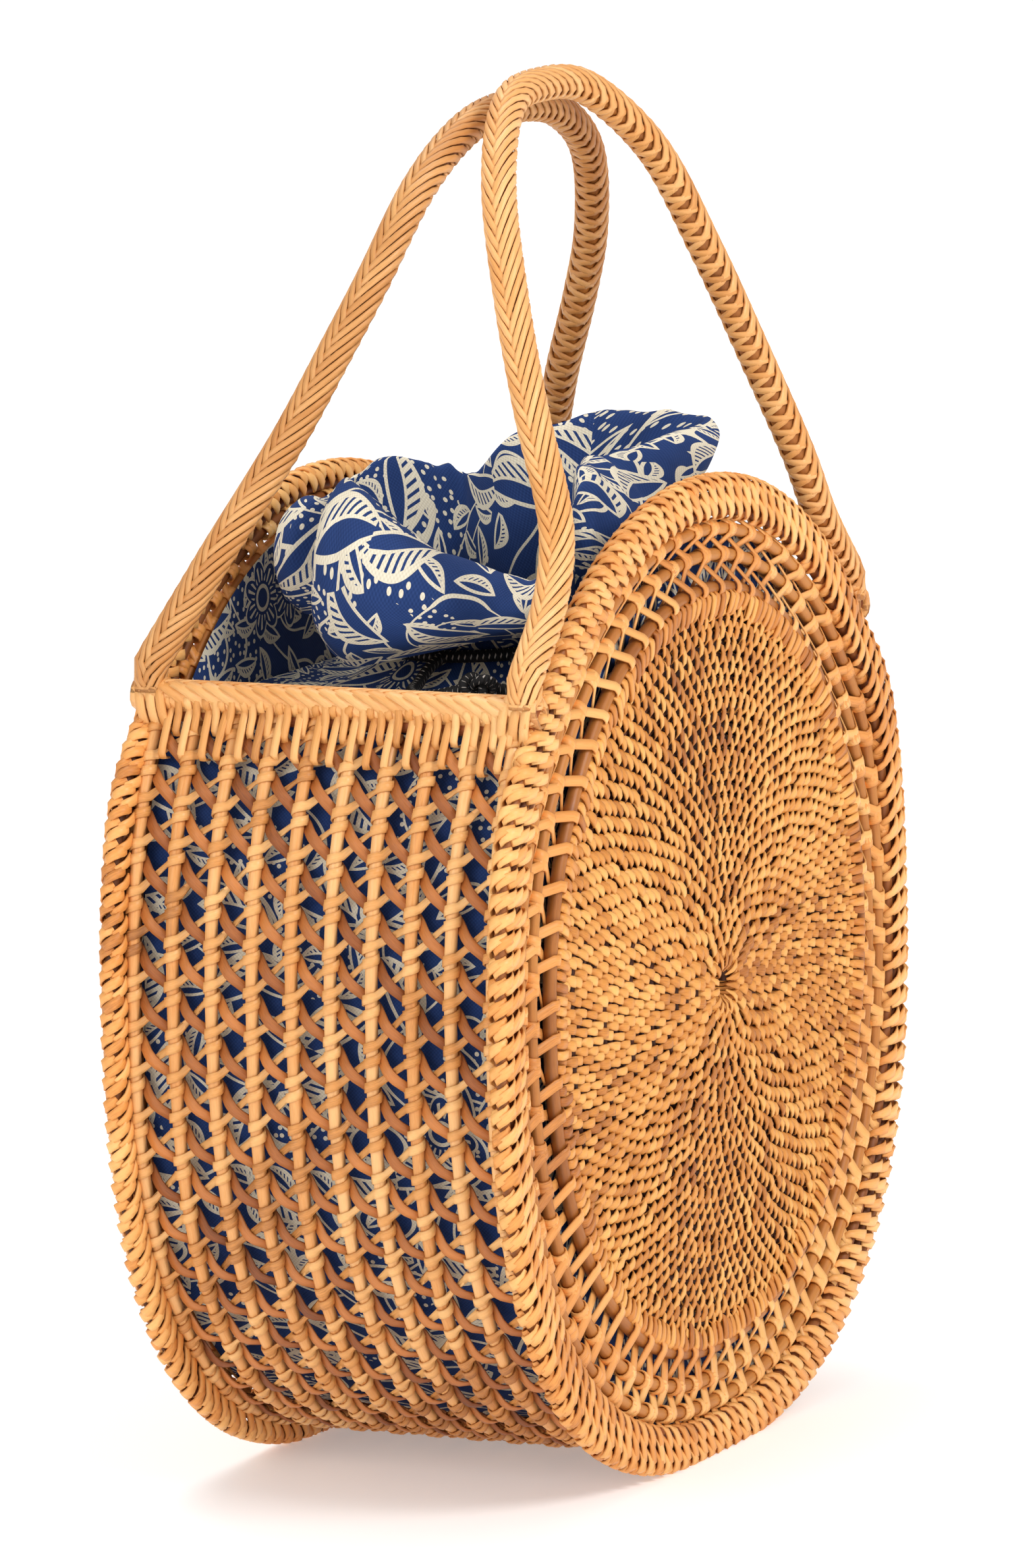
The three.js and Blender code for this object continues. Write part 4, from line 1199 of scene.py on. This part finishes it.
def round_edge(half_x, half_y, squareness):
    """Points (x, y) round a closed edge, from a round oval at 2 to a near rectangle at high squareness."""
    across = np.abs(np.cos(around) / half_x) ** squareness
    upward = np.abs(np.sin(around) / half_y) ** squareness
    radius = (across + upward) ** (-1 / squareness)
    return np.stack([radius * np.cos(around), radius * np.sin(around)], -1)


inward = np.linspace(0, 1, 26)[:, None]
shoulder_edge = round_edge(edge_half_x, edge_half_y, edge_squareness)
neck_edge = round_edge(neck_x, neck_y, 2)
pleats = np.sin(gather_count * around) + 0.5 * np.sin(17 * around + 1.1)
shoulder_plan = shoulder_edge * (1 - inward[..., None]) + neck_edge * inward[..., None]
shoulder_rise = shoulder_z + (cord_z - shoulder_z) * inward ** 4 - 3 * mm * np.sin(np.pi * inward)
shoulder_rise = shoulder_rise + 1.4 * mm * pleats * inward * (1.15 - inward)
shoulder_rise = shoulder_rise + 1.6 * mm * np.sin(5 * around + 0.7) * np.sin(np.pi * inward)
shoulder_points = np.concatenate([shoulder_plan, shoulder_rise[..., None]], -1)
shoulder_flat = (0.6 * around / (2 * np.pi), 1.2 + 0.08 * inward)
shoulder = cloth("liner_top", shoulder_points, *shoulder_flat, "liner_shoulder")

# Collar: the loose mouth of the liner above the cord. Its cloth bulges out of the gather, rolls over to the
# left and stands up at the right, and its edge is turned under. Each line gives an angle round the neck and
# the way of the cloth there, from the cord to the hem: out from the neck and up, in millimetres.
fold_softness = 5
climb_steps = 8
print_middle = 170
fan_x = 64
fan_y = 40
gather_depth = 1.6 * mm
collar_lines = (
    (0, ((0, 0), (4, 8), (14, 26), (20, 46), (26, 64), (29, 75), (24, 78), (13, 44), (8, 12))),
    (13, ((0, 0), (3, 8), (12, 24), (17, 42), (20, 58), (20, 70), (14, 73), (6, 42), (3, 12))),
    (26, ((0, 0), (4, 8), (15, 23), (20, 40), (21, 57), (19, 69), (14, 71), (6, 40), (4, 12))),
    (38, ((0, 0), (4, 8), (14, 22), (16, 37), (8, 48), (-4, 57), (-12, 58), (-11, 38), (-5, 12))),
    (54, ((0, 0), (4, 8), (15, 22), (15, 38), (3, 51), (-12, 60), (-20, 61), (-18, 40), (-8, 12))),
    (78, ((0, 0), (4, 8), (18, 22), (20, 39), (10, 53), (-6, 63), (-13, 65), (-12, 42), (-6, 12))),
    (103, ((0, 0), (4, 8), (18, 24), (22, 41), (14, 55), (2, 65), (-6, 67), (-7, 44), (-4, 12))),
    (112, ((0, 0), (4, 8), (17, 25), (22, 43), (18, 60), (12, 71), (4, 73), (3, 46), (1, 14))),
    (122, ((0, 0), (4, 9), (14, 26), (22, 44), (24, 56), (22, 62), (28, 57), (31, 47), (31, 37))),
    (138, ((0, 0), (4, 9), (14, 30), (28, 54), (43, 62), (55, 55), (60, 39), (56, 24), (46, 16))),
    (148, ((0, 0), (4, 9), (14, 30), (28, 54), (42, 62), (53, 54), (58, 39), (54, 25), (45, 17))),
    (153, ((0, 0), (3, 8), (10, 30), (20, 54), (27, 64), (33, 54), (38, 38), (42, 26), (40, 18))),
    (159, ((0, 0), (3, 8), (10, 34), (22, 61), (33, 74), (49, 62), (57, 40), (58, 20), (50, 8))),
    (169, ((0, 0), (3, 8), (10, 32), (21, 56), (34, 66), (50, 55), (58, 32), (56, 9), (46, 0))),
    (186, ((0, 0), (3, 8), (10, 25), (20, 42), (33, 50), (47, 44), (56, 28), (54, 13), (45, 6))),
    (203, ((0, 0), (3, 8), (10, 20), (20, 32), (32, 38), (44, 34), (52, 25), (50, 16), (42, 11))),
    (219, ((0, 0), (3, 8), (9, 18), (16, 26), (25, 30), (35, 27), (41, 20), (40, 14), (33, 10))),
    (231, ((0, 0), (3, 8), (9, 20), (13, 34), (15, 46), (19, 52), (24, 45), (26, 31), (23, 20))),
    (246, ((0, 0), (4, 8), (14, 24), (19, 42), (16, 57), (10, 67), (3, 69), (0, 44), (0, 16))),
    (268, ((0, 0), (4, 8), (16, 24), (21, 42), (15, 57), (5, 69), (-3, 71), (-5, 44), (-2, 12))),
    (290, ((0, 0), (4, 8), (15, 24), (18, 42), (12, 57), (4, 68), (-3, 70), (-4, 44), (-1, 12))),
    (306, ((0, 0), (4, 8), (15, 26), (24, 44), (28, 60), (28, 71), (21, 74), (12, 45), (7, 14))),
    (323, ((0, 0), (4, 8), (18, 26), (38, 46), (53, 61), (58, 71), (51, 78), (32, 50), (18, 18))),
    (341, ((0, 0), (4, 8), (16, 26), (26, 45), (33, 63), (36, 76), (30, 79), (18, 48), (11, 15))),
)


def collar_grid():
    """Points of the collar (steps up the cloth, steps round the neck), with folds, creases and gathers."""
    turns = np.radians([turn for turn, line in collar_lines])
    knots = np.array([line for turn, line in collar_lines], float) * mm
    turns = np.concatenate([turns - 2 * np.pi, turns, turns + 2 * np.pi])
    knots = np.concatenate([knots, knots, knots])
    spread = np.arange(-fold_softness, fold_softness + 1)
    weight = np.exp(-2 * (spread / fold_softness) ** 2)
    weight /= weight.sum()
    step = around[1] - around[0]
    before = around[0] + spread[:fold_softness] * step
    after = around[-1] + spread[-fold_softness:] * step
    wide = np.concatenate([before, around, after])
    shape = np.empty((len(around), *knots.shape[1:]))
    for knot in range(knots.shape[1]):
        for axis in range(2):
            shape[:, knot, axis] = np.convolve(np.interp(wide, turns, knots[:, knot, axis]), weight, "valid")
    away = np.stack([fan_x * np.cos(around), fan_y * np.sin(around)], -1)
    away = away / np.linalg.norm(away, axis=1)[:, None]
    columns = []
    for number, turn in enumerate(around):
        line = smooth_through(shape[number], climb_steps)
        ahead = np.gradient(line, axis=0)
        ahead /= np.linalg.norm(ahead, axis=1)[:, None]
        climb = np.linspace(0, 1, len(line))
        loose = np.sin(np.pi * np.clip(climb * 1.05, 0, 1)) ** 0.7
        gather = gather_depth * pleats[number] * np.exp(-((climb - 0.1) / 0.12) ** 2)
        pull = np.abs(np.sin(7 * turn + 5 * climb + 0.8 * np.sin(3 * turn)))
        slack = np.abs(np.sin(11 * turn - 7 * climb + 1.3 * np.sin(2 * turn + 1)))
        dent = gather + loose * mm * (1.6 * pull + 1.0 * slack - 1.6)
        line = line + dent[:, None] * np.stack([-ahead[:, 1], ahead[:, 0]], 1)
        plan = neck_edge[number] + away[number] * line[:, :1]
        columns.append(np.concatenate([plan, cord_z + line[:, 1:]], 1))
    return np.stack(columns, 1)


collar_points = collar_grid()
collar_steps = np.linalg.norm(np.diff(collar_points, axis=0), axis=2).mean(1)
collar_climb = run_up(collar_steps)[:, None]
collar_rounds = np.linalg.norm(np.diff(collar_points, axis=1), axis=2)
collar_around = np.concatenate([np.zeros((len(collar_points), 1)), np.cumsum(collar_rounds, 1)], 1)
collar_around -= collar_around[:, print_middle:print_middle + 1]
collar = cloth("liner_mouth", collar_points, collar_around, collar_climb + 1.6, "liner_collar")

# Drawcord: black cord with pale flecks, in the gather of the liner. It comes out at the left as two tails,
# which hang over the shoulder to one knot.
cord_diameter = 5 * mm
cord_ring_x = 66.8 * mm
cord_ring_y = 42.8 * mm
cord_sides = 12
braid_pitch = 2.3 * mm
cord_dark = colour(14, 14, 16)
cord_fleck = colour(196, 190, 182)


def cord_finish():
    """A round braid of black threads, with a pale fleck where two of them cross."""
    material, shader, wire = new_finish("cord_black")
    along = wire.attribute("along") * (2 * math.pi / braid_pitch)
    across = wire.attribute("across") * 2.4
    twist = wire.math("SINE", along + across)
    other = wire.math("SINE", along - across)
    fleck = twist.between(0.55, 0.85) * other.between(-0.2, 0.3)
    wire.mix(fleck, cord_dark, cord_fleck).into(shader, "Base Color")
    wire.bump(twist * other, 0.6, 0.4 * mm).into(shader, "Normal")
    shader.inputs["Roughness"].default_value = 0.75
    return material


cord_black = cord_finish()
cord_turn = np.linspace(0, 2 * np.pi, 160, endpoint=False)
ring_line = stacked(cord_ring_x * np.cos(cord_turn), cord_ring_y * np.sin(cord_turn), cord_z)
ring_out = stacked(np.cos(cord_turn), np.sin(cord_turn), 0)
ring_mesh = round_cane(ring_line, ring_out, cord_diameter, cord_sides, cord_black, 0.5, True)
piece_of("drawn_cord", [ring_mesh], "cord", "drawcord")

# Cord tails and knot: the two ends of the cord, tied to each other in an overhand knot. The tails' points are
# those of their routes in the solids, in millimetres.
tail_routes = (
    (
        (-72, -5, 326), (-78, -3, 323), (-86, -2, 318), (-96, -4, 316.3),
        (-105, -11, 316.3), (-109, -21, 317.5), (-107.5, -31, 320),
    ),
    (
        (-63, -33, 326), (-66, -38, 323), (-70, -45, 318), (-78, -52, 316.3),
        (-87, -53, 316.3), (-94, -49, 317.5), (-99.5, -42.5, 320),
    ),
)
tail_steps = 10
knot_size = 2.1
knot_girth = 0.85
knot_low, knot_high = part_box("drawcord_knot")
knot_middle = (np.array(knot_low) + np.array(knot_high)) / 2
knot_turn = np.linspace(0, 2 * np.pi, 90)
knot_line = np.stack([
    -1.2 * np.sin(3 * knot_turn),
    np.sin(knot_turn) + 2 * np.sin(2 * knot_turn),
    np.cos(knot_turn) - 2 * np.cos(2 * knot_turn),
], 1)[:-1] * knot_size * mm + knot_middle
knot_out = knot_line - knot_middle
knot_mesh = round_cane(knot_line, knot_out, cord_diameter, cane_sides, cord_black, 0.5, True, knot_girth)
piece_of("cord_knot", [knot_mesh], "cord", "drawcord_knot")
for number, route in enumerate(tail_routes, 1):
    line = smooth_through(np.array(route) * mm, tail_steps)
    tail_mesh = round_cane(line, (0, 0, 1), cord_diameter, cord_sides, cord_black, 0.5)
    tail_piece = piece_of(f"cord_tail_{number}", [tail_mesh], "cord", f"drawcord_tail_{number}")
